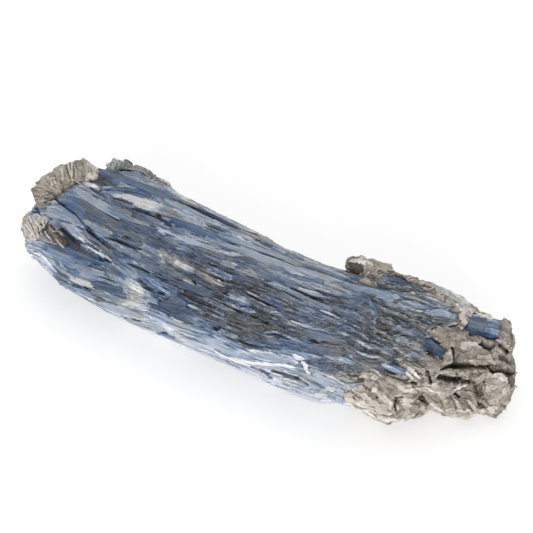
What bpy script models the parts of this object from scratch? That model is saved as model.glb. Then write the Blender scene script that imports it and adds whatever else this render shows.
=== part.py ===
# Kyanite blade cluster: a hand specimen of blue kyanite grown in mica schist.
# Long flat kyanite blades have grown side by side into one slightly curved bundle, which is one solid.
# Mica books, a mica crust and the schist that the bundle broke out of are pieces of their own,
# and so are the few short kyanite crystals that stand in the schist away from the bundle.
# X runs along the blades, with the schist end at +X. The specimen lies on its flat cleaved underside.

import math
import random

import bmesh
import bpy
import numpy as np
from mathutils import Euler, Vector

MM = 0.001              # every size below is in millimetres
CLEARANCE = 0.3         # kept between neighbouring pieces
SHORTEST_EDGE = 0.002   # what a cut leaves shorter than this is merged

# Cross-sections of the bundle under its outer blades, from the rounded end to the end in schist:
# place along X, middle in Y, half width, underside height, thickness
SECTIONS = (
    (-88.0, 0.5, 7.0, 14.5, 7.5),
    (-84.5, 1.0, 14.0, 9.5, 15.0),
    (-79.0, 1.6, 20.4, 5.0, 22.0),
    (-70.0, 2.9, 25.2, 1.2, 29.0),
    (-58.0, 3.2, 26.6, -0.8, 33.0),
    (-40.0, -1.0, 25.4, -1.2, 34.3),
    (-20.0, -3.5, 24.3, -1.4, 35.0),
    (0.0, -4.5, 22.4, -1.4, 35.0),
    (20.0, -5.5, 21.6, -1.4, 34.6),
    (38.0, -4.0, 22.6, -1.2, 34.4),
    (54.0, 1.3, 24.0, 0.0, 33.6),
    (66.0, 8.0, 18.3, 2.5, 28.5),
    (76.0, 14.0, 9.0, 9.5, 17.0),
)
SECTION_POWER = 2.4     # superellipse power: squarer than an ellipse, as a bundle of flat blades is
SECTION_POINTS = 24

BLADE_ROWS = 13         # rows of outer blades round the bundle
BLADE_SPAN = (-84.0, 70.0)
BLADE_LENGTH = (34.0, 72.0)
BLADE_WIDTH = (8.0, 15.0)
BLADE_ROOT = 2.6        # depth to which an outer blade is grown into the bundle
BLADE_RISE = (0.3, 1.8)
BLADE_STEPS = 3

# Splinters that stand clear of the top: start x, end x, start angle, end angle, width, end rise
SPLINTERS = (
    (-60.0, -43.0, 76.0, 66.0, 6.5, 2.6),
    (-56.0, -41.0, 88.0, 80.0, 6.0, 1.8),
    (28.0, 46.0, 162.0, 158.0, 4.5, 2.0),
    (33.0, 51.0, 171.0, 174.0, 5.0, 2.2),
    (-42.0, -26.0, 172.0, 170.0, 8.0, 1.4),
)

LUMP_POINTS = 24
BLOCKINESS = 0.75       # 1 gives round lumps, less gives squarer ones

# Rough lumps: middle x, y, z, then half sizes along their own x, y, z, and turn about Z in degrees
SCHIST_LUMPS = (
    (88.0, 8.5, 10.0, 7.5, 9.5, 8.5, 20.0),
    (84.5, 14.5, 17.5, 7.5, 8.0, 7.0, 10.0),
    (77.5, 5.0, 16.5, 9.5, 9.0, 8.5, -20.0),
    (72.0, -4.5, 16.0, 9.5, 7.5, 8.0, 15.0),
    (76.5, -4.0, 7.0, 12.0, 6.0, 7.0, 8.0),
    (62.5, -12.5, 16.0, 9.5, 7.5, 8.5, -15.0),
    (53.0, -17.5, 12.5, 7.0, 7.0, 9.0, 20.0),
    (59.0, -15.5, 6.0, 8.5, 6.5, 6.5, -10.0),
    (66.5, -10.5, 5.0, 8.0, 6.5, 5.5, 30.0),
    (70.0, 5.0, 22.5, 8.5, 8.0, 5.5, 15.0),
    (76.0, 15.5, 19.5, 7.0, 7.0, 6.5, 0.0),
    (87.5, 5.5, 4.5, 8.0, 8.0, 5.5, 0.0),
    (79.0, 19.5, 12.0, 10.0, 8.0, 10.0, -15.0),
    (67.0, 22.5, 13.0, 10.5, 7.5, 10.0, 10.0),
    (73.0, 7.0, 5.5, 14.0, 15.0, 6.5, 0.0),
)
LEFT_FAN_LUMPS = (
    (-83.5, -9.5, 17.5, 6.5, 4.5, 5.5, -55.0),
    (-77.5, -14.5, 20.5, 6.5, 4.5, 5.5, -40.0),
)
BACK_CRUST_LUMPS = (
    (-67.0, 23.5, 25.5, 6.0, 4.5, 5.0, 10.0),
    (-58.0, 23.5, 26.5, 7.5, 4.5, 4.5, -5.0),
    (-49.0, 21.5, 27.0, 6.5, 4.0, 4.0, -12.0),
    (-61.0, 26.0, 20.5, 9.0, 4.5, 6.5, 5.0),
)
BACK_BLOCK_LUMPS = (
    (35.0, 14.5, 29.5, 5.5, 5.0, 4.5, -10.0),
    (42.0, 15.5, 29.0, 6.0, 5.0, 4.5, 15.0),
    (38.5, 20.0, 24.0, 7.5, 5.0, 5.5, 0.0),
)

# The upper left mica book: plates stand side by side along a line from its first to its last plate.
BOOK_START = Vector((-86.0, -1.0, 20.5))
BOOK_END = Vector((-75.0, 18.0, 26.5))
BOOK_PLATES = 8
PLATE_HALF = (2.2, 4.6, 6.0)    # along the line, out of the bundle, and across

# Short kyanite crystals in the schist: middle, half length, half width, half thickness, Euler turns
CRYSTAL_STUB = ((80.0, 15.8, 22.6), (7.0, 4.4, 2.9), (0.0, 8.0, 20.0))
CRYSTAL_DARK = ((70.0, -2.5, 24.5), (4.2, 2.0, 2.6), (20.0, 12.0, -12.0))
CRYSTAL_BRIGHT = ((60.5, -15.5, 23.5), (5.5, 2.6, 1.6), (-30.0, 8.0, 4.0))


def section_at(x):
    columns = list(zip(*SECTIONS))
    return [float(np.interp(x, columns[0], column)) for column in columns[1:]]


def surface_point(x, degrees):
    # A point of the bundle's skin. Angle 0 faces +Y, 90 faces up, 180 faces -Y.
    middle, half_width, under, thickness = section_at(x)
    c = math.cos(math.radians(degrees))
    s = math.sin(math.radians(degrees))
    power = 2.0 / SECTION_POWER
    y = middle + half_width * math.copysign(abs(c) ** power, c)
    z = under + thickness / 2 * (1 + math.copysign(abs(s) ** power, s))
    return Vector((x, y, z))


def surface_frame(x, degrees):
    # Outward normal and the direction across a blade, at a point of the skin.
    along = surface_point(x + 0.5, degrees) - surface_point(x - 0.5, degrees)
    around = surface_point(x, degrees + 1) - surface_point(x, degrees - 1)
    normal = around.cross(along).normalized()
    middle, _, under, thickness = section_at(x)
    outwards = surface_point(x, degrees) - Vector((x, middle, under + thickness / 2))
    if normal.dot(outwards) < 0:
        normal.negate()
    return normal, normal.cross(along).normalized()


def new_object(name, bm):
    bmesh.ops.recalc_face_normals(bm, faces=bm.faces)
    bmesh.ops.scale(bm, vec=(MM, MM, MM), verts=bm.verts)
    mesh = bpy.data.meshes.new(name)
    bm.to_mesh(mesh)
    bm.free()
    obj = bpy.data.objects.new(name, mesh)
    bpy.context.scene.collection.objects.link(obj)
    return obj


def loft(name, rings):
    # A closed body through rings of equal point counts, capped at both ends.
    bm = bmesh.new()
    rows = [[bm.verts.new(point) for point in ring] for ring in rings]
    for row in rows:
        for first, second in zip(row, row[1:] + row[:1]):
            bm.edges.new((first, second))
    for row in (rows[0], rows[-1]):
        bm.faces.new(row)
    for lower, upper in zip(rows, rows[1:]):
        count = len(lower)
        for i in range(count):
            j = (i + 1) % count
            bm.faces.new((lower[i], lower[j], upper[j], upper[i]))
    return new_object(name, bm)


def bundle_core():
    angles = [360.0 * i / SECTION_POINTS for i in range(SECTION_POINTS)]
    return loft("kyanite_bundle", [[surface_point(row[0], a) for a in angles] for row in SECTIONS])


def outer_blade(name, x_range, angle_range, width, rise, end_rise, skew):
    # A flat six-sided prism laid along the skin, with bevelled long edges and slanted broken ends.
    rings = []
    for step in range(BLADE_STEPS + 1):
        t = step / BLADE_STEPS
        x = x_range[0] + (x_range[1] - x_range[0]) * t
        degrees = angle_range[0] + (angle_range[1] - angle_range[0]) * t
        point = surface_point(x, degrees)
        normal, across = surface_frame(x, degrees)
        half = width / 2 * (1.0 - 0.35 * abs(2 * t - 1) ** 3)
        top = rise + (end_rise - rise) * t
        bevel = min(0.6, half * 0.3)
        outline = ((-half, -BLADE_ROOT), (half, -BLADE_ROOT), (half, top - bevel),
                   (half - bevel, top), (bevel - half, top), (-half, top - bevel))
        slant = skew if step == 0 else -skew if step == BLADE_STEPS else 0.0
        rings.append([point + across * a + normal * n + Vector((slant * a, 0, 0)) for a, n in outline])
    return loft(name, rings)


def outer_blades():
    rng = random.Random(11)
    blades = []
    for row in range(BLADE_ROWS):
        angle = 360.0 * (row + 0.5) / BLADE_ROWS
        x = BLADE_SPAN[0] + rng.uniform(0, 6)
        while x < BLADE_SPAN[1] - BLADE_LENGTH[0] / 2:
            end = min(x + rng.uniform(*BLADE_LENGTH), BLADE_SPAN[1] - rng.uniform(0, 8))
            drift = rng.uniform(-7, 7)
            rise = rng.uniform(*BLADE_RISE)
            blades.append(outer_blade("blade", (x, end), (angle - drift / 2, angle + drift / 2),
                                      rng.uniform(*BLADE_WIDTH), rise, rise + rng.uniform(-0.2, 0.5),
                                      rng.uniform(-0.9, 0.9)))
            x += (end - x) * rng.uniform(0.8, 0.96)
    for x0, x1, a0, a1, width, lift in SPLINTERS:
        blades.append(outer_blade("splinter", (x0, x1), (a0, a1), width, 0.6, lift, 0.4))
    return blades


def hull(name, points, grow=0.0):
    # The convex solid through the points, with each face moved out by grow.
    bm = bmesh.new()
    for point in points:
        bm.verts.new(point)
    result = bmesh.ops.convex_hull(bm, input=bm.verts)
    loose = [v for v in result["geom_interior"] if isinstance(v, bmesh.types.BMVert)]
    bmesh.ops.delete(bm, geom=loose, context='VERTS')
    bmesh.ops.recalc_face_normals(bm, faces=bm.faces)
    bm.normal_update()
    moves = [(v, v.normal * v.calc_shell_factor() * grow) for v in bm.verts]
    for vert, move in moves:
        vert.co += move
    return new_object(name, bm)


def lump_points(lump, seed):
    # Points near an ellipsoid, spread by the golden angle and moved in by uneven amounts.
    rng = random.Random(seed)
    x, y, z, half_x, half_y, half_z, turn = lump
    points = []
    for i in range(LUMP_POINTS):
        height = 1 - 2 * (i + 0.5) / LUMP_POINTS
        radius = math.sqrt(1 - height * height)
        angle = i * math.pi * (3 - math.sqrt(5))
        unit = (radius * math.cos(angle), radius * math.sin(angle), height)
        depth = rng.uniform(0.84, 1.06)
        local = Vector([half * depth * math.copysign(abs(u) ** BLOCKINESS, u)
                        for half, u in zip((half_x, half_y, half_z), unit)])
        local.rotate(Euler((0, 0, math.radians(turn))))
        points.append(Vector((x, y, z)) + local)
    return points


def slab_points(middle, half, turns):
    # A flat prism with bevelled edges, as a crystal or a stack of mica sheets has.
    bevel = min(half) * 0.35
    turned = Euler([math.radians(t) for t in turns])
    points = []
    for sx in (-1, 1):
        for sy in (-1, 1):
            for sz in (-1, 1):
                for inset in ((0, bevel), (bevel, 0)):
                    local = Vector((sx * half[0], sy * (half[1] - inset[0]), sz * (half[2] - inset[1])))
                    local.rotate(turned)
                    points.append(Vector(middle) + local)
    return points


def book_points():
    # The plates fan out: each one's long side points away from the bundle's end.
    rng = random.Random(5)
    line = BOOK_END - BOOK_START
    turn = math.degrees(math.atan2(line.y, line.x))
    plates = []
    for i in range(BOOK_PLATES):
        t = (i + 0.5) / BOOK_PLATES
        bow = math.sin(math.pi * t)
        middle = BOOK_START + line * t + Vector((-1.6, 0.6, 1.6)) * bow
        out, across = PLATE_HALF[1] * rng.uniform(0.8, 1.0), PLATE_HALF[2] * rng.uniform(0.85, 1.05)
        half = (PLATE_HALF[0], across, out)
        plates.append(slab_points(middle, half, (0, -20 + 10 * t, turn - 12 + 24 * t)))
    return plates


def hidden_collection(name, objects):
    collection = bpy.data.collections.new(name)
    bpy.context.scene.collection.children.link(collection)
    for obj in objects:
        bpy.context.scene.collection.objects.unlink(obj)
        collection.objects.link(obj)
        obj.hide_render = True
        obj.display_type = 'WIRE'
    return collection


def combine(obj, operation, objects):
    modifier = obj.modifiers.new(operation.lower(), 'BOOLEAN')
    modifier.operation = operation
    modifier.solver = 'EXACT'
    modifier.operand_type = 'COLLECTION'
    modifier.collection = hidden_collection(obj.name + "_" + operation.lower(), objects)


def solid_from(name, shapes):
    # One solid from many convex shapes.
    first = hull(name, shapes[0])
    if len(shapes) > 1:
        combine(first, 'UNION', [hull("shape", points) for points in shapes[1:]])
    return first


def grown(shapes):
    return [hull("cutter", points, CLEARANCE) for points in shapes]


def ground_cutter():
    # Everything under the flat underside.
    bm = bmesh.new()
    bmesh.ops.create_cube(bm, size=1.0)
    bmesh.ops.scale(bm, vec=(300, 150, 40), verts=bm.verts)
    bmesh.ops.translate(bm, vec=(0, 0, -20), verts=bm.verts)
    return new_object("ground", bm)


def largest_piece(bm):
    # Deletes the chips that a cut leaves beside the main body.
    left = set(bm.faces)
    pieces = []
    while left:
        stack = [left.pop()]
        piece = list(stack)
        while stack:
            for edge in stack.pop().edges:
                for face in edge.link_faces:
                    if face in left:
                        left.remove(face)
                        stack.append(face)
                        piece.append(face)
        pieces.append(piece)
    pieces.sort(key=len)
    chips = [face for piece in pieces[:-1] for face in piece]
    bmesh.ops.delete(bm, geom=chips, context='FACES')


def settle(obj):
    # Replaces the modifiers by their result, as one clean body.
    graph = bpy.context.evaluated_depsgraph_get()
    mesh = bpy.data.meshes.new_from_object(obj.evaluated_get(graph))
    bm = bmesh.new()
    bm.from_mesh(mesh)
    bmesh.ops.triangulate(bm, faces=bm.faces)
    bmesh.ops.remove_doubles(bm, verts=bm.verts, dist=SHORTEST_EDGE * MM)
    bmesh.ops.dissolve_degenerate(bm, dist=SHORTEST_EDGE * MM, edges=bm.edges)
    largest_piece(bm)
    bmesh.ops.triangulate(bm, faces=bm.faces)
    bm.to_mesh(mesh)
    bm.free()
    obj.modifiers.clear()
    obj.data = mesh


def finish_with(obj, name, colour, roughness, metallic=0.0):
    material = bpy.data.materials.new(name)
    material.use_nodes = True
    shader = material.node_tree.nodes["Principled BSDF"]
    shader.inputs["Base Color"].default_value = (*colour, 1.0)
    shader.inputs["Roughness"].default_value = roughness
    shader.inputs["Metallic"].default_value = metallic
    obj.data.materials.clear()
    obj.data.materials.append(material)


def stand_at_origin(objects):
    # Puts the middle of the whole cluster's box over the origin, with the underside at zero.
    corners = np.array([obj.matrix_world @ v.co for obj in objects for v in obj.data.vertices])
    low, high = corners.min(axis=0), corners.max(axis=0)
    shift = Vector((-(low[0] + high[0]) / 2, -(low[1] + high[1]) / 2, -low[2]))
    for obj in objects:
        for vert in obj.data.vertices:
            vert.co += shift


def build():
    for obj in list(bpy.data.objects):
        bpy.data.objects.remove(obj)

    schist = [lump_points(lump, 20 + i) for i, lump in enumerate(SCHIST_LUMPS)]
    fan = [lump_points(lump, 50 + i) for i, lump in enumerate(LEFT_FAN_LUMPS)]
    crust = [lump_points(lump, 60 + i) for i, lump in enumerate(BACK_CRUST_LUMPS)]
    block = [lump_points(lump, 70 + i) for i, lump in enumerate(BACK_BLOCK_LUMPS)]
    book = book_points()
    stub = [slab_points(*CRYSTAL_STUB)]
    dark = [slab_points(*CRYSTAL_DARK)]
    bright = [slab_points(*CRYSTAL_BRIGHT)]

    bundle = bundle_core()
    combine(bundle, 'UNION', outer_blades())
    embedded = schist + fan + crust + block + book + stub + dark + bright
    combine(bundle, 'DIFFERENCE', grown(embedded) + [ground_cutter()])

    schist_end = solid_from("mica_schist_end", schist)
    combine(schist_end, 'DIFFERENCE', grown(stub + dark + bright) + [ground_cutter()])
    pieces = {
        bundle: ("kyanite", (0.13, 0.17, 0.26), 0.35),
        schist_end: ("mica_schist", (0.36, 0.33, 0.29), 0.6),
        solid_from("mica_book_top_left", book): ("mica_book", (0.37, 0.33, 0.28), 0.5),
        solid_from("mica_fan_left_end", fan): ("mica_fan", (0.38, 0.35, 0.31), 0.5),
        solid_from("mica_crust_back_left", crust): ("mica_crust", (0.24, 0.24, 0.23), 0.55),
        solid_from("mica_block_back_right", block): ("mica_brown", (0.25, 0.20, 0.15), 0.5),
        solid_from("kyanite_stub_right", stub): ("kyanite_stub", (0.17, 0.22, 0.32), 0.35),
        solid_from("kyanite_crystal_dark", dark): ("kyanite_dark", (0.06, 0.09, 0.17), 0.3),
        solid_from("kyanite_crystal_bright", bright): ("kyanite_bright", (0.24, 0.33, 0.52), 0.3),
    }
    for obj in pieces:
        settle(obj)
        finish_with(obj, *pieces[obj])
    stand_at_origin(list(pieces))


build()
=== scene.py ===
import math
import random

import bmesh
import bpy
import numpy as np
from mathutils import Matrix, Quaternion, Vector, noise
from mathutils.bvhtree import BVHTree
from mathutils.kdtree import KDTree


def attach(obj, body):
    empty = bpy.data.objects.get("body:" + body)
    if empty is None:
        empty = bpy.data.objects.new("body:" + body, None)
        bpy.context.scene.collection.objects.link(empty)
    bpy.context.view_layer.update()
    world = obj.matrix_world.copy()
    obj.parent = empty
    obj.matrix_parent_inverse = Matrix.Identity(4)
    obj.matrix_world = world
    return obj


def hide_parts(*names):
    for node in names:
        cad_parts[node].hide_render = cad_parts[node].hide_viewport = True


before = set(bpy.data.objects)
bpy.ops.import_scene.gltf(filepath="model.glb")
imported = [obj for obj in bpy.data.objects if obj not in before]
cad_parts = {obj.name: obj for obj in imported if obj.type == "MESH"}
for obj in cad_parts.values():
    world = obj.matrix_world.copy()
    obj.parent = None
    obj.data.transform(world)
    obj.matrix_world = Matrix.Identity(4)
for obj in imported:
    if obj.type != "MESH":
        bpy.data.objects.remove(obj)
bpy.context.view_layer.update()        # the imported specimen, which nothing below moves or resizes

mm = 0.001
print("frame loaded")

# The camera comes first, because the pieces are laid where its pixels meet the specimen.
camera = {
    "azimuth": 29.0, "elevation": 42.0,          # degrees
    "lens": 85.0, "sensor": 36.0,                # millimetres
    "distance": 0.440,
    "target": Vector((-0.0015, 0.0132, 0.0160)),
    "pixels": 533,
    "search": (0.340, 0.004, 50),                # a ray that misses is searched from here, in steps of this
}
turn, rise = math.radians(camera["azimuth"]), math.radians(camera["elevation"])
camBack = Vector((math.sin(turn) * math.cos(rise), -math.cos(turn) * math.cos(rise), math.sin(rise)))
camRight = Vector((math.cos(turn), math.sin(turn), 0.0))
camUp = camBack.cross(camRight)
camPlace = camera["target"] + camBack * camera["distance"]
pixelReach = camera["pixels"] * camera["lens"] / camera["sensor"]      # pixels at one unit of distance


def addCamera():
    data = bpy.data.cameras.new("studioCamera")
    data.lens = camera["lens"]
    data.sensor_width = camera["sensor"]
    eye = bpy.data.objects.new("studioCamera", data)
    bpy.context.scene.collection.objects.link(eye)
    eye.location = camPlace
    eye.rotation_euler = camBack.to_track_quat("Z", "Y").to_euler()
    bpy.context.scene.camera = eye


def pixelRay(pixel):
    middle = camera["pixels"] / 2
    across, down = (pixel[0] - middle) / pixelReach, (pixel[1] - middle) / pixelReach
    return (camRight * across - camUp * down - camBack).normalized()


# A pale sweep of paper under broad soft lights, so that light comes back up from below.
studio = {
    "floorSize": 6.0,
    "floorColour": "b9b9b9", "floorGlow": 1.13,
    "world": ("ffffff", 0.60),
    # name: where the light comes from (azimuth, elevation), strength, softness, all angles in degrees
    "lights": {
        "topLight": ((-160, 62), 1.05, 60),
        "frontLight": ((18, 9), 2.9, 50),
    },
}


def linear(hexColour):
    # sRGB hex to the linear colour that shaders take
    parts = [int(hexColour[i:i + 2], 16) / 255 for i in (0, 2, 4)]
    return [p / 12.92 if p <= 0.04045 else ((p + 0.055) / 1.055) ** 2.4 for p in parts] + [1.0]


def addNode(tree, kind, inputs=None, stops=None, **settings):
    made = tree.nodes.new(kind)
    for name, value in settings.items():
        setattr(made, name, value)
    for name, value in (inputs or {}).items():
        if isinstance(value, bpy.types.NodeSocket):
            tree.links.new(value, made.inputs[name])
        else:
            made.inputs[name].default_value = value
    for i, (place, colour) in enumerate(stops or []):
        points = made.color_ramp.elements
        point = points[i] if i < 2 else points.new(place)
        point.position = place
        point.color = linear(colour)
    return made


def newMaterial(name):
    material = bpy.data.materials.new(name)
    material.use_nodes = True
    material.node_tree.nodes.clear()
    return material, material.node_tree


def addStudio():
    bpy.ops.object.select_all(action="DESELECT")
    bpy.ops.mesh.primitive_plane_add(size=studio["floorSize"], location=(0, 0, -0.0002))
    floor = bpy.context.object
    floor.name = "floorSweep"
    material, tree = newMaterial("paperSweep")
    shader = addNode(tree, "ShaderNodeBsdfPrincipled",
                     {"Base Color": linear(studio["floorColour"]), "Roughness": 0.9,
                      "Specular IOR Level": 0.1, "Emission Color": linear(studio["floorColour"]),
                      "Emission Strength": studio["floorGlow"]})
    addNode(tree, "ShaderNodeOutputMaterial", {"Surface": shader.outputs["BSDF"]})
    floor.data.materials.append(material)
    for name, ((azimuth, elevation), strength, softness) in studio["lights"].items():
        data = bpy.data.lights.new(name, "SUN")
        data.energy = strength
        data.angle = math.radians(softness)
        lamp = bpy.data.objects.new(name, data)
        bpy.context.scene.collection.objects.link(lamp)
        side, up = math.radians(azimuth), math.radians(elevation)
        source = Vector((math.sin(side) * math.cos(up), -math.cos(side) * math.cos(up), math.sin(up)))
        lamp.rotation_euler = source.to_track_quat("Z", "Y").to_euler()
    world = bpy.data.worlds.new("whiteRoom")
    bpy.context.scene.world = world
    world.use_nodes = True
    colour, strength = studio["world"]
    world.node_tree.nodes["Background"].inputs["Color"].default_value = linear(colour)
    world.node_tree.nodes["Background"].inputs["Strength"].default_value = strength
    bpy.context.scene.view_settings.view_transform = "Standard"


addCamera()
addStudio()
print("camera and studio placed")


# Meshes: reading and writing their points, and modelling by selecting in edit mode.
def places(mesh):
    flat = np.empty(len(mesh.vertices) * 3, np.float32)
    mesh.vertices.foreach_get("co", flat)
    return flat.reshape(-1, 3).astype(float)


def outward(mesh):
    flat = np.empty(len(mesh.vertices) * 3, np.float32)
    mesh.vertices.foreach_get("normal", flat)
    return flat.reshape(-1, 3).astype(float)


def setPlaces(mesh, points):
    mesh.vertices.foreach_set("co", np.asarray(points, np.float32).ravel())
    mesh.update()


def setAttribute(mesh, name, rows):
    if name not in mesh.attributes:
        mesh.attributes.new(name, "FLOAT_VECTOR", "POINT")
    mesh.attributes[name].data.foreach_set("vector", np.asarray(rows, np.float32).ravel())


def unit(rows):
    return rows / (np.linalg.norm(rows, axis=-1, keepdims=True) + 1e-12)


def applyModifier(piece, kind, **settings):
    modifier = piece.modifiers.new(kind.lower(), kind)
    for name, value in settings.items():
        setattr(modifier, name, value)
    bpy.context.view_layer.objects.active = piece
    bpy.ops.object.modifier_apply(modifier=modifier.name)


def selectWhere(piece, kind, test):
    editable = bmesh.from_edit_mesh(piece.data)
    for part in [*editable.verts, *editable.edges, *editable.faces]:
        part.select_set(False)
    for part in getattr(editable, kind):
        corners = [part.co] if kind == "verts" else [v.co for v in part.verts]
        if test(corners):
            part.select_set(True)
    editable.select_flush_mode()
    bmesh.update_edit_mesh(piece.data)


def joinPieces(name, pieces):
    bpy.ops.object.select_all(action="DESELECT")
    for piece in pieces:
        piece.select_set(True)
    bpy.context.view_layer.objects.active = pieces[0]
    bpy.ops.object.join()
    joined = bpy.context.object
    joined.name = joined.data.name = name
    return joined


# Grounds: each CAD solid is copied, merged and remeshed, so that it can carry a broken natural surface.
# The smooth state of it tells the pieces laid on it where the surface is.
def cadCopy(node, name):
    bpy.ops.object.select_all(action="DESELECT")
    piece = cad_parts[node].copy()
    piece.data = piece.data.copy()
    piece.name = piece.data.name = name
    piece.parent = None
    for key in list(piece.keys()):
        del piece[key]
    bpy.context.scene.collection.objects.link(piece)
    piece.select_set(True)
    bpy.context.view_layer.objects.active = piece
    bpy.ops.object.mode_set(mode="EDIT")
    bpy.ops.mesh.select_all(action="SELECT")
    bpy.ops.mesh.remove_doubles(threshold=0.00001)
    bpy.ops.object.mode_set(mode="OBJECT")
    piece.data.materials.clear()
    return piece


def groundOf(node, name, voxel, smoothing, sink, lumps=()):
    # lumps are extra mounds that stand on what carries them: place, radius along, across and up
    piece = cadCopy(node, name)
    mounds = []
    for spot, radii in lumps:
        bpy.ops.mesh.primitive_ico_sphere_add(subdivisions=3, radius=1, location=spot, scale=radii)
        mounds.append(bpy.context.object)
    if mounds:
        piece = joinPieces(name, [piece, *mounds])
    applyModifier(piece, "REMESH", mode="VOXEL", voxel_size=voxel)
    applyModifier(piece, "SMOOTH", factor=0.5, iterations=smoothing)
    mesh = piece.data
    setPlaces(mesh, places(mesh) - outward(mesh) * sink)
    corners = [v.co.copy() for v in mesh.vertices]
    tree = BVHTree.FromPolygons(corners, [list(p.vertices) for p in mesh.polygons])
    print(name, len(mesh.polygons), "faces")
    return piece, tree


def castPixel(tree, pixel):
    # where a pixel's ray meets the surface, or comes nearest to it past the outline
    ray = pixelRay(pixel)
    hit = tree.ray_cast(camPlace, ray)
    if hit[0] is not None:
        return hit[0], hit[1]
    start, step, count = camera["search"]
    nears = [tree.find_nearest(camPlace + ray * (start + i * step)) for i in range(count)]
    best = min(nears, key=lambda near: near[3])
    return best[0], best[1]


# the bundle's middle in pixels, from one end to the other
spine = np.array([(60, 222), (110, 238), (150, 248), (200, 268), (250, 290), (300, 308), (350, 328),
                  (400, 342), (470, 362)])


def castInside(tree, pixel, most=16, squarely=0.22):
    # a pixel on the outline or past it is moved in, until it meets the surface squarely enough
    pixel = np.array(pixel, float)
    middle = spine[np.argmin(np.sum((spine - pixel) ** 2, axis=1))]
    way = (middle - pixel) / (np.linalg.norm(middle - pixel) + 1e-9)
    for k in range(most):
        hit = tree.ray_cast(camPlace, pixelRay(pixel + way * k))
        if hit[0] is not None and hit[1].dot(camBack) > squarely:
            return hit[0], hit[1]
    return castPixel(tree, pixel)


def relax(rows, passes):
    rows = np.array(rows, float)
    for _ in range(passes):
        rows[1:-1] = (rows[:-2] + 2 * rows[1:-1] + rows[2:]) / 4
    return rows


def castLine(tree, pixels, steps, cast=castPixel):
    # a traced line becomes points and facings spaced evenly along the surface
    corners = np.array(pixels, float)
    runs = np.concatenate([[0], np.cumsum(np.linalg.norm(np.diff(corners, axis=0), axis=1))])
    marks = np.linspace(0, runs[-1], steps + 1)
    hits = [cast(tree, [np.interp(m, runs, corners[:, axis]) for axis in (0, 1)]) for m in marks]
    return relax([list(h[0]) for h in hits], 2), unit(relax([list(h[1]) for h in hits], 4))


# The bundle's ground: a smooth copy of its solid, sunk a little, which the skin of blades is wrapped on.
bundle = {"voxel": 0.8 * mm, "smoothing": 14, "sink": 1.2 * mm}
body, bodyTree = groundOf("kyanite_bundle", "bladeGround", **bundle)


def readSweep(mesh, count=24, margin=2 * mm, thick=2.5 * mm):
    # middle and half size of the bundle, in slices along it
    points = places(mesh)
    cuts = np.linspace(points[:, 0].min() + margin, points[:, 0].max() - margin, count)
    rows = []
    for cut in cuts:
        near = points[np.abs(points[:, 0] - cut) < thick]
        low, high = near.min(axis=0), near.max(axis=0)
        rows.append([cut, *((low + high)[1:] / 2), *((high - low)[1:] / 2)])
    return np.array(rows)


sweep = readSweep(body.data)


def sliceAt(x):
    return [np.interp(x, sweep[:, 0], sweep[:, i]) for i in (1, 2, 3, 4)]


def grainAt(points, first=-72 * mm, last=44 * mm, radius=24):
    # millimetres along the bundle and round it, which every streak in the stone follows
    midY, midZ, halfY, halfZ = sliceAt(np.clip(points[:, 0], first, last))
    turns = np.arctan2((points[:, 1] - midY) / halfY, (points[:, 2] - midZ) / halfZ)
    return np.stack([points[:, 0] / mm, turns * radius, np.zeros(len(points))], 1)


def spreadPoints(mesh, count, seed):
    # starts spread over a mesh by area
    mesh.calc_loop_triangles()
    corners = places(mesh)[np.array([t.vertices[:] for t in mesh.loop_triangles])]
    areas = np.linalg.norm(np.cross(corners[:, 1] - corners[:, 0], corners[:, 2] - corners[:, 0]), axis=1)
    chance = np.random.default_rng(seed)
    picked = corners[chance.choice(len(areas), count, p=areas / areas.sum())]
    shares = chance.dirichlet((1, 1, 1), count)[:, :, None]
    return [Vector(p) for p in (picked * shares).sum(axis=1)]


# Blade stock: each kind is modelled once, one unit long, wide and deep, and every blade that stands proud
# is a bent copy of it.
bladeStock = {
    # kind: stations along it, grooves across it, width of its chamfers, depth of its grooves
    "wide": (10, (-0.3, -0.15, 0.04, 0.21), 0.10, 0.06),
    "plain": (7, (0.08,), 0.16, 0.10),
}


def modelBlade(name, stations, grooves, chamfer, grooveDepth):
    bpy.ops.object.select_all(action="DESELECT")
    bpy.ops.mesh.primitive_cube_add(size=1)
    blade = bpy.context.object
    blade.name = name
    bpy.ops.object.mode_set(mode="EDIT")
    bpy.ops.mesh.select_mode(type="EDGE")
    selectWhere(blade, "edges",
                lambda ends: min(e.z for e in ends) > 0.4 and abs(ends[0].x - ends[1].x) > 0.9)
    bpy.ops.mesh.bevel(offset=chamfer, segments=1)
    for i in range(1, stations):
        bpy.ops.mesh.select_all(action="SELECT")
        bpy.ops.mesh.bisect(plane_co=(i / stations - 0.5, 0, 0), plane_no=(1, 0, 0))
    for groove in grooves:
        bpy.ops.mesh.select_all(action="SELECT")
        bpy.ops.mesh.bisect(plane_co=(0, groove, 0), plane_no=(0, 1, 0))
    bpy.ops.mesh.select_mode(type="VERT")
    for i, groove in enumerate(grooves):
        selectWhere(blade, "verts", lambda ends: abs(ends[0].y - groove) < 0.001 and ends[0].z > 0.4)
        bpy.ops.transform.translate(value=(0, 0, grooveDepth * (-1.0, 0.5)[i % 2]))
    bpy.ops.object.mode_set(mode="OBJECT")
    for attribute in ("grain", "toneShadeStain"):
        blade.data.attributes.new(attribute, "FLOAT_VECTOR", "POINT")
    return blade


stock = {name: modelBlade(name + "Blade", *shape) for name, shape in bladeStock.items()}
stockPoints = {name: places(blade.data) for name, blade in stock.items()}
print("blade stock modelled")
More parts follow.
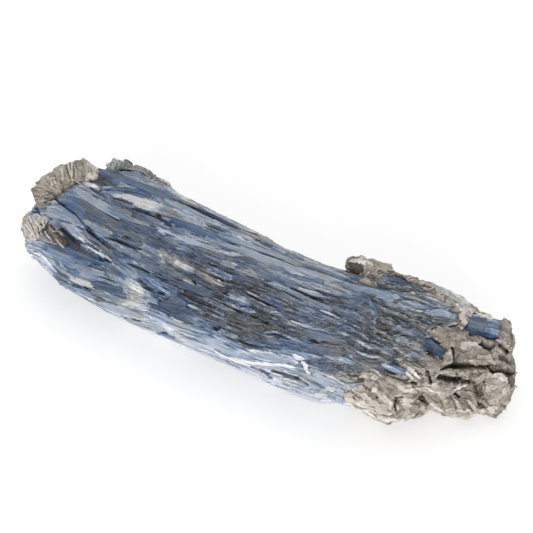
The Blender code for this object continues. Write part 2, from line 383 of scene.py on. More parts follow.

# each tone: brightness from black to white, then how far from blue towards the grey-beige of mica
# night is partly black-blue kyanite and partly painted shade, laid where one blade shades another
tones = {
    "night": (0.04, 0.15), "soot": (0.08, 0.60), "navy": (0.17, 0.00), "denim": (0.30, 0.00),
    "slate": (0.28, 0.50), "steel": (0.45, 0.12), "grey": (0.48, 0.55), "pale": (0.60, 0.22),
    "dusty": (0.60, 0.30), "lavender": (0.76, 0.05), "white": (0.92, 0.30), "cream": (0.78, 0.90),
    "ivory": (0.76, 0.65), "beige": (0.60, 1.00), "brown": (0.33, 1.00),
}


def layBlade(kind, line, facing, look, rng):
    # bends a copy of the stock along a line on the surface
    model = stockPoints[kind]
    line, facing = np.asarray(line), np.asarray(facing)
    runs = np.concatenate([[0], np.cumsum(np.linalg.norm(np.diff(line, axis=0), axis=1))])
    length = runs[-1]
    share = model[:, 0] + 0.5
    odd = np.array([rng.uniform(-1, 1) for _ in range(7)])
    ragged = np.interp(model[:, 1], np.linspace(-0.5, 0.5, 4), odd[:4]) * look["ragged"]
    atEnd = np.abs(model[:, 0]) > 0.499
    along = share * length + np.where(atEnd, ragged * np.sign(model[:, 0]), 0.0)
    slopes = unit(np.gradient(line, axis=0))
    read = lambda rows: np.stack([np.interp(along, runs, rows[:, axis]) for axis in range(3)], 1)
    heading = unit(read(slopes))
    up = unit(read(facing))
    centre = read(line) + heading * (along - np.clip(along, 0, length))[:, None]
    across = unit(np.cross(up, heading))
    reach = look["tipLength"]
    taper = 1 - look["taper"][0] * np.exp(-share / reach) - look["taper"][1] * np.exp(-(1 - share) / reach)
    side = np.sign(model[:, 1])
    wave = 1 + look["wave"] * np.sin(share * look["waves"] + odd[4] * 3 + side * odd[5] * 2)
    sideways = model[:, 1] * look["wide"] * taper * wave + look["offset"]
    top = look["lift"][0] * (1 - share) + look["lift"][1] * share
    top = top + model[:, 1] * look["roll"] + look["buckle"] * np.sin(share * look["waves"] + odd[6] * 4)
    dive = look["dive"][0] * np.exp(-share / reach) + look["dive"][1] * np.exp(-(1 - share) / reach)
    height = top - dive + (model[:, 2] - 0.5) * look["deep"]
    points = centre + across * sideways[:, None] + up * height[:, None]
    points[:, 2] = np.maximum(points[:, 2], 0.05 * mm)
    mesh = stock[kind].data.copy()
    setPlaces(mesh, points)
    tone, warmth = look["tone"]
    # the pale rim along the sides of a proud blade is partly dust and partly painted highlight
    edge = np.clip(np.abs(model[:, 1]) * 2, 0, 1) ** 2 * look["rim"]
    setAttribute(mesh, "grain", grainAt(points) + [odd[0] * 3, odd[1] * 1.5, 0])
    setAttribute(mesh, "toneShadeStain", np.stack([np.full(len(model), tone), edge, np.full(len(model), warmth)], 1))
    piece = bpy.data.objects.new(kind, mesh)
    bpy.context.scene.collection.objects.link(piece)
    return piece


def pixelRun(text):
    return [tuple(float(v) for v in pair.split(",")) for pair in text.split()]


def pixelSize(point):
    # how long one pixel is, across the view, at a point
    return (Vector(point) - camPlace).dot(-camBack) / pixelReach


# The blades that can be told apart, each with its tone, its width and its course in pixels.
# They lie in the order they overlap.
# The pale blades along the lower edge are made pale partly as painted light coming up from the floor, and
# the night wedge under the tongue at the left end is painted shade.
tracedBlades = """
steel 8  66,189 78,195 90,203
steel 6  62,184 66,193 74,199
steel 5  70,184 76,191 86,198
pale 4   78,184 90,196 107,209
steel 5  58,196 61,191 66,185
pale 5   84,186 96,197 110,208
pale 4   92,193 101,202 112,211
denim 5  68,199 78,202 88,206 100,210
steel 6  94,205 104,212 125,219 150,226
navy 4   100,211 125,222 150,234
denim 8  60,203 75,209 90,218
slate 7  84,214 97,221 112,229
grey 7   85,222 98,229 110,235
slate 8  95,222 110,227 125,232 150,243
dusty 15 46,212 58,214 68,221 80,234 92,248
dusty 5  70,224 78,231 90,243 100,252 110,260
steel 4  56,206 66,208 76,218 84,228
denim 6  88,215 97,218 106,222
slate 7  82,232 92,240 100,246 115,255
steel 7  93,228 102,235 110,240 125,252
night 10 60,231 68,239 80,249
navy 6   66,243 76,250 88,258
lavender 4 80,239 92,248 102,256
denim 7  44,247 60,255 80,262
steel 5  47,250 60,258 75,268
grey 7   29,206 36,204 45,209
steel 6  29,212 37,211 46,213
lavender 8 30,238 38,252 45,264 54,274
white 3  36,242 46,257 56,269
steel 6  43,247 58,254 75,260 90,263
steel 6  55,257 68,263 80,268
denim 7  56,262 68,269 80,275
pale 5   60,262 68,270 78,281
navy 6   52,267 60,272 69,278
haze 9  68,277 80,281 94,285
grey 8   78,267 90,271 105,274
denim 9  103,262 116,270 126,277
pale 3   100,252 112,262 122,270 132,278 145,290
navy 8  91,284 106,287 122,291
steel 7  92,291 106,295 120,299
denim 4  119,291 123,295 127,299
brown 5  96,299 107,302 118,306
haze 12  124,283 132,285 141,291 146,297
haze 12  120,303 132,303 142,303 150,307
steel 7  60,281 75,289 93,294
haze 6  75,290 90,298 103,303
lavender 8 99,303 120,309 150,320
white 4  112,309 130,313 147,318
pale 7  123,320 137,324 152,327
cream 4  135,327 145,329 155,331
pale 5   95,300 115,309 130,315
denim 8  98,172 112,176 125,181 150,189
steel 6  120,173 135,177 150,183
denim 8  112,180 130,184 150,188 165,196 178,203
pale 4   103,189 125,187 150,190
navy 5   118,191 135,192 152,194
steel 4  102,193 113,194 126,194
steel 8  158,190 172,195 190,203 205,211
navy 6   176,203 200,213 215,219 232,229 252,237
navy 5   165,200 185,208 203,215
steel 5  166,193 190,203 205,210 240,226
cream 4  168,187 200,199 230,216 252,228
denim 3  208,211 225,217 240,228
pale 5   166,202 180,206 200,217 220,226 235,232
pale 4   162,207 180,213 195,221 200,224
steel 6  168,204 184,212 194,218
beige 4  202,222 207,225 213,228
haze 9  88,184 98,188 106,194
ivory 8  118,197 130,198 143,202 163,206
slate 4  112,202 126,205 142,211
grey 7   106,209 120,212 134,218
ivory 4  132,204 144,208 156,212
denim 7  173,229 182,226 190,226 202,230
denim 6  203,231 218,237 235,242 252,249
steel 5  176,230 184,231 191,233
lavender 7 156,230 172,235 185,240 200,243
pale 5   183,243 205,247 225,254 250,259
denim 4  192,234 205,237 218,243
navy 10  148,241 158,245 168,250 174,254
steel 11 140,249 150,254 160,259
haze 7  158,251 163,254 168,258
slate 5  196,250 212,254 228,259
haze 9  233,236 242,242 252,248
pale 8   206,238 225,246 245,254
denim 8  58,243 74,253 90,261
pale 6   160,231 170,235 185,241 210,247
haze 12  168,257 180,264 196,269
denim 7  148,258 156,262 164,268
denim 8  126,250 140,258 152,264
steel 8  112,243 126,251 140,258
haze 12  198,269 208,276 216,283 226,288
denim 7  208,269 218,273 230,278
steel 6  176,262 186,267 196,272
slate 9  168,269 178,275 188,282 202,289
haze 6  183,279 188,282 193,285
navy 9   192,254 198,258 206,262 220,268
denim 6  139,273 150,278 165,283 182,290
denim 6  148,281 165,288 177,293
navy 9  178,282 190,286 200,290 214,297
pale 3   150,282 160,288 170,293
steel 4  138,270 155,282 170,295
denim 9  163,293 175,299 187,306
slate 5  163,302 172,303 182,306
navy 10  160,303 170,307 185,311 202,316
navy 5  148,302 158,307 170,314
steel 8  148,310 165,318 180,324 202,331
pale 4   152,309 166,315 184,322
pale 3   166,322 182,328 200,334
pale 9  128,320 140,323 152,326 167,330
pale 6   165,336 178,341 192,347
denim 4  158,333 166,334 175,337
denim 11 186,313 198,320 212,331
slate 11 218,317 234,324 252,331
dusty 3  190,305 200,309 216,316
steel 8  228,294 240,299 252,304
slate 7  198,311 209,315 222,319
slate 9  200,299 215,306 232,314
steel 6  222,228 235,232 245,236 258,241
navy 5   220,221 235,228 245,232 260,238 270,243
denim 6  225,217 234,223 244,229
cream 4  240,225 252,231 265,237 280,241 292,250 303,258
haze 8  221,225 240,233 255,238 264,244
pale 7   262,241 275,247 286,254
denim 4  282,250 293,256 304,262
pale 2   280,250 287,254 295,260
steel 7  218,235 235,241 250,247 265,253 280,259 292,263 306,268
denim 6  303,267 320,272 333,276 346,281
pale 9   218,244 240,250 256,255 270,259
pale 10  258,256 272,260 286,265 302,271
steel 9  296,268 312,273 330,279 348,285
grey 8   220,262 230,265 240,268
slate 4  244,266 250,268 256,271
steel 7  256,262 272,268 290,275
slate 5   235,274 250,279 263,285
denim 6  258,272 275,279 290,285 306,288
pale 6   268,282 280,287 292,291
haze 6  238,269 250,273 261,277
steel 8  288,276 304,281 322,285
night 5  310,297 330,301 350,303
night 4  298,292 312,297 324,302
cream 1.4 298,288 310,292 322,295
pale 7   323,284 337,289 352,296
beige 2  326,283 337,286 348,288
lavender 6 313,267 330,272 347,278
pale 5   318,262 328,267 346,270
denim 4  317,271 335,276 352,283
pale 2   249,293 260,298 272,304
denim 7  223,302 237,306 252,311
steel 7  288,291 300,296 312,303 332,311
navy 8  262,296 278,304 296,312
slate 8  250,300 268,308 285,315
pale 3   299,310 312,316 327,321
pale 3   320,311 335,317 352,325
night 8  224,314 245,320 265,325 292,331
soot 8   230,321 245,326 266,331
pale 2   265,315 273,313 283,312
navy 6   280,314 290,317 302,322
haze 6  287,321 292,324 302,326
pale 3   292,321 305,326 320,332
denim 9  303,331 325,336 347,343
slate 7  288,330 305,335 320,341
night 6  236,330 250,334 266,340
steel 6  218,329 228,333 238,337
denim 7  246,338 262,342 280,344 300,348
lavender 10 238,349 255,353 270,356 298,361
haze 7  250,349 258,353 267,358
steel 5  278,349 300,353 320,357
denim 7  284,341 304,346 326,352 346,356
slate 8  310,347 326,350 346,352
white 4  226,356 250,360 275,363 299,366
white 5  295,355 300,358 305,363
white 4  304,359 307,365 309,373
navy 8   310,362 325,365 342,368
steel 7  322,353 338,358 354,362
lavender 7 228,362 250,371 270,379 292,388
white 5  214,350 232,358 252,366
denim 5  260,368 266,373 272,379
navy 5   269,368 285,374 300,379
cream 4  282,376 290,378 300,381
pale 5   298,370 312,377 324,385
slate 5  302,374 315,381 325,388
pale 6   262,378 276,384 292,391
pale 9   328,396 342,402 354,407
lavender 9 288,389 310,397 332,403
pale 7   310,371 330,379 347,386
navy 5   338,365 345,368 352,372
grey 3   336,332 346,335 356,338
denim 7  384,274 392,277 405,284 426,291
steel 10 343,284 365,291 380,295 395,301
denim 3  367,298 380,302 390,305
steel 6  390,292 397,294 405,297
grey 5   403,294 410,297 422,301
white 5  428,289 437,292 447,296
steel 6  386,304 393,306 402,309
pale 3   398,305 402,307 408,310
pale 5   407,309 413,311 422,314
brown 5  418,317 423,318 430,321
pale 10  428,315 440,312 452,315
slate 8  396,311 408,313 416,320 420,325
slate 8  378,317 386,323 397,331
slate 8  376,333 382,336 390,341
denim 7  366,296 360,302 350,310
denim 6  366,298 371,306 377,316
denim 5  376,310 375,317 373,327
pale 3   322,311 340,320 362,329
navy 4   369,321 372,325 376,331
navy 5   348,337 354,339 362,343
cream 3  358,342 365,346 374,351
denim 4  393,327 408,333 430,342
slate 7  340,300 356,306 372,314
denim 6  318,316 334,322 352,330
slate 7  330,306 348,313 366,322
night 6  344,344 362,350 376,354
slate 6  380,340 394,346 404,351
grey 6   404,350 416,356 430,363
slate 5  372,346 381,349 391,353
grey 6   396,338 412,345 428,352
slate 6  400,330 416,337 432,345
brown 5  372,330 386,336 400,343
grey 6   404,352 418,359 432,366
pale 5   360,352 376,358 392,364
beige 6  394,356 408,362 424,369
beige 6  376,359 387,365 397,372
ivory 3  383,361 391,367 398,372
grey 4   410,322 424,328 438,335
steel 5  384,318 398,323 412,329
slate 6  376,308 392,312 408,319
slate 5  352,338 368,345 384,351
beige 3  388,346 402,352 418,361
steel 2  372,341 384,347 396,353
pale 2   398,344 410,350 422,357
grey 5   418,300 432,304 446,310
grey 4   398,296 414,300 430,305
steel 6  404,302 418,306 434,312
pale 4   182,213 200,220 216,227 236,235 252,243 272,253
night 4  180,204 192,210 204,216 216,221 228,227 242,233
navy 2.5 242,233 260,242 280,250 303,260
denim 4  232,240 250,248 268,256 286,264
night 5  103,180 110,184 118,189
ivory 4  84,184 92,187 101,191
pale 8   424,314 438,312 454,317
"""

# Gaps between blades, where the specimen is open, cut in and painted dark as painted shade.
tracedGaps = """
2  53,201 60,205 70,210 78,217 86,228
1.3 84,228 94,236 106,246 116,254
3  60,229 70,238 82,247
3  93,190 104,191
3  112,199 125,202 135,206
4  130,209 145,213 160,218 170,224 173,229
3  156,213 161,218
4  108,238 118,241 130,246 141,250
3  97,257 106,260
3  91,260 97,265
2  125,262 140,268 148,272
4  136,277 145,286 152,293 163,304
2  168,298 171,302
2  110,178 130,184
5  183,252 190,255 198,258
2  205,262 218,268
2  210,274 217,278 229,283
2  193,281 197,285
2  222,291 232,299
3  174,290 185,295 200,302 215,308 230,315
2  168,314 171,318
3  214,325 217,330 221,327
2  225,239 250,249 280,262 305,270
2  232,231 250,238 262,243
2  245,293 258,300 282,311
3  290,287 300,291 310,296 325,303
4  306,289 320,291 335,296 350,301
3  235,335 238,341 244,345 258,347 270,347 283,349
3  275,337 285,341
2  260,320 268,325
3  305,336 320,345
3  271,369 285,375
3  296,377 310,385
2  268,333 282,335
4  340,279 352,283 365,287 378,290
5  378,284 395,290 410,291 428,292
3  377,334 388,341
3  390,318 402,326
2  72,284 92,290
2  120,316 135,320 150,322
2  155,331 170,333
2  40,203 45,208
2  30,217 46,217
2  41,198 49,200
2  50,193 53,201
2  50,251 70,260
2  82,295 89,300
"""

# How the bundle's look drifts over it: place in pixels, tone, warmth, and how crumbly it is.
# It is read by nearness.
# Near the lower edge the tone is raised partly as painted light coming up from the floor, and at the wedge
# under the tongue it is lowered as painted shade.
skinDrift = [
    ((75, 185), 0.42, 0.25, 0.20), ((60, 205), 0.48, 0.10, 0.20), ((100, 200), 0.56, 0.10, 0.10),
    ((75, 215), 0.36, 0.10, 0.15), ((75, 245), 0.06, 0.25, 0.20), ((45, 262), 0.72, 0.05, 0.20),
    ((110, 225), 0.16, 0.10, 0.50), ((115, 250), 0.30, 0.15, 0.60), ((150, 240), 0.28, 0.15, 0.40),
    ((150, 258), 0.54, 0.30, 0.60), ((152, 312), 0.84, 0.10, 0.20), ((150, 290), 0.34, 0.10, 0.40),
    ((78, 270), 0.56, 0.40, 0.20), ((175, 215), 0.52, 0.40, 0.30), ((215, 230), 0.46, 0.15, 0.30),
    ((160, 260), 0.38, 0.45, 0.90), ((190, 262), 0.20, 0.20, 0.50), ((130, 275), 0.58, 0.10, 0.30),
    ((85, 285), 0.50, 0.40, 0.20), ((132, 294), 0.56, 0.60, 0.60), ((124, 314), 0.66, 0.02, 0.20),
    ((180, 280), 0.10, 0.30, 0.80), ((180, 310), 0.30, 0.05, 0.40), ((215, 275), 0.20, 0.20, 0.90),
    ((225, 300), 0.20, 0.12, 0.90), ((170, 325), 0.90, 0.05, 0.20), ((240, 325), 0.08, 0.35, 0.90),
    ((255, 250), 0.60, 0.15, 0.30), ((290, 275), 0.66, 0.20, 0.30), ((330, 280), 0.52, 0.15, 0.30),
    ((270, 300), 0.22, 0.30, 0.90), ((300, 315), 0.26, 0.25, 0.80), ((280, 335), 0.28, 0.15, 0.90),
    ((330, 335), 0.34, 0.30, 0.80), ((245, 355), 0.62, 0.10, 0.30), ((300, 360), 0.64, 0.30, 0.30),
    ((280, 385), 0.78, 0.10, 0.30), ((335, 390), 0.74, 0.55, 0.30), ((345, 305), 0.32, 0.25, 0.70),
    ((375, 285), 0.14, 0.30, 0.50), ((400, 300), 0.40, 0.50, 0.80), ((370, 320), 0.22, 0.25, 1.00),
    ((395, 330), 0.02, 0.70, 1.00), ((345, 350), 0.30, 0.35, 0.90), ((430, 315), 0.48, 0.30, 0.80),
    ((370, 370), 0.45, 0.70, 1.00), ((388, 268), 0.52, 0.60, 0.90), ((412, 278), 0.52, 0.70, 0.90),
    ((366, 273), 0.30, 0.40, 0.60), ((440, 295), 0.76, 0.75, 0.90), ((462, 306), 0.90, 0.80, 1.00),
    ((440, 330), 0.50, 0.90, 1.00), ((415, 345), 0.50, 0.75, 1.00), ((405, 362), 0.85, 0.95, 1.00),
    ((465, 325), 0.50, 0.90, 1.00), ((385, 345), 0.36, 0.60, 1.00), ((102, 257), 0.05, 0.15, 0.50),
    ((102, 240), 0.26, 0.10, 0.40), ((198, 292), 0.00, 0.12, 0.80), ((246, 327), 0.00, 0.30, 0.90),
    ((366, 345), 0.05, 0.60, 1.00), ((246, 237), 0.96, 0.20, 0.30), ((340, 327), 0.30, 0.15, 0.80),
    ((150, 330), 0.98, 0.05, 0.20), ((192, 348), 0.80, 0.10, 0.20), ((215, 355), 0.80, 0.10, 0.20),
    ((240, 370), 0.80, 0.10, 0.20), ((300, 385), 0.74, 0.10, 0.20), ((330, 400), 0.86, 0.20, 0.20),
    ((78, 291), 0.62, 0.10, 0.20), ((270, 345), 0.84, 0.10, 0.30), ((318, 345), 0.04, 0.20, 0.70),
    ((100, 305), 0.64, 0.50, 0.20), ((126, 327), 0.95, 0.10, 0.10), ((222, 291), 0.02, 0.08, 0.90),
    ((222, 272), 0.00, 0.10, 0.90), ((222, 255), 0.66, 0.15, 0.30), ((388, 358), 1.00, 0.75, 0.50),
    ((270, 240), 0.72, 0.20, 0.30), ((174, 292), 0.00, 0.10, 0.60), ((102, 184), 0.00, 0.00, 0.10),
    ((126, 184), 0.56, 0.00, 0.10), ((148, 186), 0.66, 0.10, 0.10), ((174, 188), 0.80, 0.60, 0.30),
    ((294, 272), 0.80, 0.30, 0.20), ((342, 290), 0.56, 0.25, 0.30), ((270, 385), 0.95, 0.10, 0.10),
    ((345, 372), 0.60, 0.75, 0.60), ((52, 213), 0.92, 0.30, 0.10), ((56, 196), 0.96, 0.25, 0.10),
    ((54, 264), 0.55, 0.35, 0.30), ((198, 237), 0.74, 0.20, 0.30), ((222, 240), 0.62, 0.20, 0.30),
    ((362, 363), 0.18, 0.70, 1.00), ((318, 275), 0.86, 0.25, 0.30), ((342, 309), 0.24, 0.20, 0.70),
    ((198, 219), 0.94, 0.20, 0.30), ((342, 292), 0.80, 0.20, 0.20), ((342, 345), 0.34, 0.40, 0.90),
    ((174, 309), 0.06, 0.10, 0.50), ((102, 240), 0.16, 0.15, 0.40), ((246, 273), 0.40, 0.15, 0.40),
    ((294, 345), 0.72, 0.40, 0.30), ((222, 345), 0.62, 0.05, 0.20), ((174, 345), 0.98, 0.10, 0.10),
    ((270, 379), 0.98, 0.10, 0.10), ((342, 399), 0.98, 0.20, 0.10), ((390, 345), 0.10, 0.60, 0.90),
    ((392, 364), 1.00, 0.80, 0.40), ((390, 327), 0.00, 0.60, 0.90), ((366, 327), 0.06, 0.40, 0.90),
    ((222, 309), 0.04, 0.05, 0.90), ((246, 291), 0.06, 0.20, 0.90), ((246, 309), 0.02, 0.15, 0.90),
    ((198, 309), 0.20, 0.02, 0.70), ((270, 309), 0.10, 0.20, 0.80),
]
driftPlaces = np.array([castPixel(bodyTree, pixel)[0] for pixel, *_ in skinDrift])
driftLooks = np.array([look for _, *look in skinDrift])


def driftAt(point, soft=4 * mm):
    near = 1 / (np.sum((driftPlaces - np.asarray(point)) ** 2, axis=1) + soft ** 2) ** 2
    return near @ driftLooks / near.sum()


def nearLine(points, facings, line, wide, spare=3 * mm, runOn=4 * mm):
    # the points near a line, with how far along it and how far beside it each one lies
    margin = wide + spare
    low, high = line.min(axis=0) - margin, line.max(axis=0) + margin
    picked = np.flatnonzero(np.all((points > low) & (points < high), axis=1))
    at, up = points[picked], facings[picked]
    nearest = np.full(len(picked), 1.0)
    along, side = np.zeros(len(picked)), np.zeros(len(picked))
    sizes = np.linalg.norm(np.diff(line, axis=0), axis=1)
    run = 0.0
    for k, size in enumerate(sizes):
        way = (line[k + 1] - line[k]) / size
        lowest = -runOn if k == 0 else 0.0                        # an end segment runs on past the end
        highest = size + (runOn if k == len(sizes) - 1 else 0.0)
        share = np.clip((at - line[k]) @ way, lowest, highest)
        off = at - line[k] - share[:, None] * way
        far = np.linalg.norm(off, axis=1)
        nearer = far < nearest
        nearest = np.where(nearer, far, nearest)
        along = np.where(nearer, run + share, along)
        side = np.where(nearer, np.sum(off * np.cross(up, way), axis=1), side)
        run += size
    close = nearest < margin
    return picked[close], along[close], side[close], run


# The bundle's surface is one fine closed skin, with rings across the blades and rows along them.
# It is wrapped on the ground, and the blades are cut into it as steps.
skin = {
    "rings": 336, "rows": 560,
    "slices": 640, "slicePart": 0.7 * mm,        # the ground is read in slices this thick to each side
    "wholeVoxel": 1.2 * mm,                      # fineness of the outside of all the pieces together
    "under": (0.4 * mm, 0.9 * mm),               # within the first of that outside, it sinks by the second
    "softening": 6,
    "coarse": (6, 8),                            # its drift is worked out at every so many rings and rows
    "crumbs": 0.22 * mm,
    # the gaps are furrows whose tone is pulled dark as painted shade
    "gapWide": 1.3, "gapDeep": 1.0 * mm, "gapShadeTone": 0.06,
    "seed": 41,
    # how many, length, width and height of the steps, in millimetres, and how their tones spread
    "steps": [
        (800, (22, 80), (1.8, 5.0), (-0.42, 0.38), 0.12),
        (2200, (8, 40), (0.8, 2.2), (-0.26, 0.34), 0.09),
        (4200, (3, 16), (0.45, 1.2), (-0.18, 0.32), 0.08),
    ],
    "fibres": (7500, (1.5, 14), (0.30, 0.55), 0.12, 0.06),
}


def treeOfNodes():
    # the outside of all the pieces together
    whole = joinPieces("whole", [cadCopy(node, "part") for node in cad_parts])
    applyModifier(whole, "REMESH", mode="VOXEL", voxel_size=skin["wholeVoxel"])
    tree = BVHTree.FromPolygons([v.co.copy() for v in whole.data.vertices],
                                [list(p.vertices) for p in whole.data.polygons])
    bpy.data.objects.remove(whole)
    return tree


wholeTree = treeOfNodes()


def sliceOutline(points, middle, angles, square=0.12):
    # how far the outline of a slice lies from its middle, with the hollows of the embedded mica bridged
    ways = np.linspace(0, 2 * math.pi, 72, endpoint=False)
    reach = ((points - middle) @ np.array([np.sin(ways), np.cos(ways)])).max(axis=0)
    facing = np.cos(angles[:, None] - ways[None, :])
    return np.where(facing > square, reach / np.maximum(facing, square), 1.0).min(axis=1)


def wrapSkin():
    # a flat grid is rolled up: its first and last rings close on the middles of the bundle's ends
    rings, rows = skin["rings"], skin["rows"]
    bpy.ops.object.select_all(action="DESELECT")
    bpy.ops.mesh.primitive_grid_add(x_subdivisions=rings, y_subdivisions=rows, size=2)
    piece = bpy.context.object
    piece.name = piece.data.name = "bladeSkin"
    flat = places(piece.data)
    ring = np.rint((flat[:, 0] + 1) / 2 * rings).astype(int)
    row = np.rint((flat[:, 1] + 1) / 2 * rows).astype(int) % rows
    points = places(body.data)
    low, high = points[:, 0].min() + 0.4 * mm, points[:, 0].max() - 0.4 * mm
    cuts = np.linspace(low, high, skin["slices"])
    angles = np.linspace(-math.pi, math.pi, 145)
    middles = np.array([sliceAt(cut)[:2] for cut in cuts])
    outlines = []
    for cut, middle in zip(cuts, middles):
        near = points[np.abs(points[:, 0] - cut) < skin["slicePart"]][:, 1:]
        outlines.append(sliceOutline(near, middle, angles))
    outlines = relax(outlines, 30)
    # rings are spaced evenly along the profile, from the middle of one end to the middle of the other
    profile = np.stack([np.r_[low, cuts, high], np.r_[0, outlines.mean(axis=1), 0]], 1)
    runs = np.r_[0, np.cumsum(np.linalg.norm(np.diff(profile, axis=0), axis=1))]
    marks = np.interp(np.linspace(0, runs[-1], rings + 1), runs, np.arange(len(runs)))
    wrapped = np.zeros((rings + 1, rows, 3))
    sides = (np.arange(rows) / rows - 0.5) * 2 * math.pi          # the seam runs along the underside
    for i, mark in enumerate(marks):
        share = min(mark, len(runs) - 1 - mark, 1.0)              # below one on the flat of an end
        at = min(max(mark - 1, 0), len(cuts) - 1)
        outline = np.array([np.interp(at, np.arange(len(cuts)), outlines[:, k]) for k in range(len(angles))])
        x = np.interp(at, np.arange(len(cuts)), cuts)
        midY, midZ, halfY, halfZ = sliceAt(x)
        turned = np.arctan2(np.sin(sides) * halfY, np.cos(sides) * halfZ)
        radius = np.interp(turned, angles, outline) * share
        ringY, ringZ = midY + radius * np.sin(turned), midZ + radius * np.cos(turned)
        wrapped[i] = np.stack([np.full(rows, x), ringY, ringZ], 1)
    # where a bridged hollow stands out past all the pieces, the skin is drawn in under them
    for i, j in np.ndindex(wrapped.shape[:2]):
        near, up, _, _ = wholeTree.find_nearest(wrapped[i, j])
        if (Vector(wrapped[i, j]) - near).dot(up) > -skin["under"][0]:
            wrapped[i, j] = near - up * skin["under"][1]
    for _ in range(skin["softening"]):
        wrapped[1:-1] = (wrapped[:-2] + wrapped[2:] + 2 * wrapped[1:-1]) / 4
        wrapped = (np.roll(wrapped, 1, 1) + np.roll(wrapped, -1, 1) + 2 * wrapped) / 4
    return piece, wrapped, ring, row


skinPiece, spots, skinRing, skinRow = wrapSkin()
alongStep = np.gradient(spots, axis=0)
acrossStep = (np.roll(spots, -1, 1) - np.roll(spots, 1, 1)) / 2
facings = np.cross(acrossStep, alongStep)
alongSize = np.linalg.norm(alongStep, axis=2) + 0.01 * mm
acrossSize = np.linalg.norm(acrossStep, axis=2) + 0.01 * mm
middles = np.stack([spots[..., 0], *sliceAt(spots[..., 0])[:2]], -1)
waist = slice(140, 200)                          # rings far from both ends, where outward is plain
facings *= np.sign(np.sum(facings[waist] * (spots - middles)[waist]))
for _ in range(skin["softening"]):
    facings[1:-1] = (facings[:-2] + facings[2:] + 2 * facings[1:-1]) / 4
    facings = (np.roll(facings, 1, 1) + np.roll(facings, -1, 1) + 2 * facings) / 4
facings = unit(facings)
print("skin wrapped")


def softNoise(along, across, seed):
    # smooth noise over the skin, from -1 to 1, with its grain size in rings and rows
    field = np.random.default_rng(seed).normal(size=spots.shape[:2])
    for axis, reach in ((0, along), (1, across)):
        for _ in range(2):
            taps = np.arange(-reach, reach + 1)
            field = sum(np.roll(field, int(tap), axis) for tap in taps)
    return field / (np.abs(field).max() * 0.5 + 1e-9)


skinNear = KDTree(spots.shape[0] * spots.shape[1])
for index, spot in enumerate(spots.reshape(-1, 3)):
    skinNear.insert(spot, index)
skinNear.balance()


def ringRow(point):
    return divmod(skinNear.find(point)[1], skin["rows"])


# what the skin carries: height in metres, tone, warmth, pale dust, and a number for each blade
height, haze, owner = np.zeros(spots.shape[:2]), np.zeros(spots.shape[:2]), np.zeros(spots.shape[:2])
# millimetres along and across the blade that a spot belongs to
ownGrain = np.zeros((*spots.shape[:2], 2))
ringStep, rowStep = skin["coarse"]
coarseSpots = spots[::ringStep, ::rowStep]
drift = np.array([driftAt(p) for p in coarseSpots.reshape(-1, 3)]).reshape(len(coarseSpots), -1, 3)
ringAt = np.arange(spots.shape[0]) / ringStep
rowAt = np.arange(spots.shape[1]) / rowStep


def spread(coarse):
    # a coarse field read at every spot of the skin
    down = np.array([np.interp(ringAt, np.arange(len(coarse)), column) for column in coarse.T]).T
    return np.array([np.interp(rowAt, np.arange(down.shape[1]), line) for line in down])


driftTone, driftWarmth, driftCrumbs = [spread(drift[..., k]) for k in range(3)]
tone, warmth = driftTone.copy(), driftWarmth.copy()
wanderAcross = softNoise(3, 1, 5) * 0.35 * mm + softNoise(14, 4, 6) * 0.5 * mm
wanderAlong = softNoise(2, 1, 7) * 1.6 * mm + softNoise(6, 3, 8) * 2.0 * mm
tatter = softNoise(5, 1, 9)                      # bright blades are torn through where it is low


def layCourses(text):
    # each traced row becomes its name, if it has one, its width in metres and its line on the ground
    laid = []
    for row in text.strip().splitlines():
        *name, wide = [word for word in row.split() if "," not in word]
        course = " ".join(word for word in row.split() if "," in word)
        line, _ = castLine(bodyTree, pixelRun(course), 8, castInside)
        laid.append((name[0] if name else "", float(wide) * pixelSize(line[4]), line))
    return laid


bladeCourses, gapCourses = layCourses(tracedBlades), layCourses(tracedGaps)


def courseSlope(line):
    # how far a line strays across the rows, for each step along the rings, unless it is too short to tell
    (i, j), (k, m) = ringRow(Vector(line[1])), ringRow(Vector(line[-2]))
    run = (k - i) * alongSize[i, j]
    return min(max((m - j) * acrossSize[i, j] / run, -0.5), 0.5) if abs(k - i) > 6 else None


courseSlopes = [(line[4], courseSlope(line)) for _, _, line in bladeCourses]
slopePlaces = np.array([place for place, slope in courseSlopes if slope is not None])
slopeValues = np.array([slope for place, slope in courseSlopes if slope is not None])


def slopeAt(point, soft=5 * mm, far=18 * mm):
    # scattered blades lean as the traced ones near them do
    near = 1 / (np.sum((slopePlaces - point) ** 2, axis=1) + soft ** 2) ** 2
    reach = np.exp(-(np.sum((slopePlaces - point) ** 2, axis=1).min() / far ** 2))
    return near @ slopeValues / near.sum() * reach


def stepShape(block, along, side, length, wide, taper, rough=1.0):
    # the spots that a step covers, with a ragged outline
    along = along + wanderAlong[block] * rough
    side = side + wanderAcross[block] * min(1.0, wide / (2.0 * mm)) * rough
    share = np.clip(along / length, 0, 1)
    narrowing = 1 - taper[0] * np.exp(-share / 0.12) - taper[1] * np.exp(-(1 - share) / 0.12)
    return (along > 0) & (along < length) & (np.abs(side) < wide / 2 * narrowing), share


def spreadSpots(count, seed):
    # rings and rows picked evenly by area
    area = (alongSize * acrossSize)[2:-2].ravel()
    chance = np.random.default_rng(seed)
    picked = chance.choice(area.size, count, p=area / area.sum())
    return [(int(p // skin["rows"]) + 2, int(p % skin["rows"])) for p in picked]


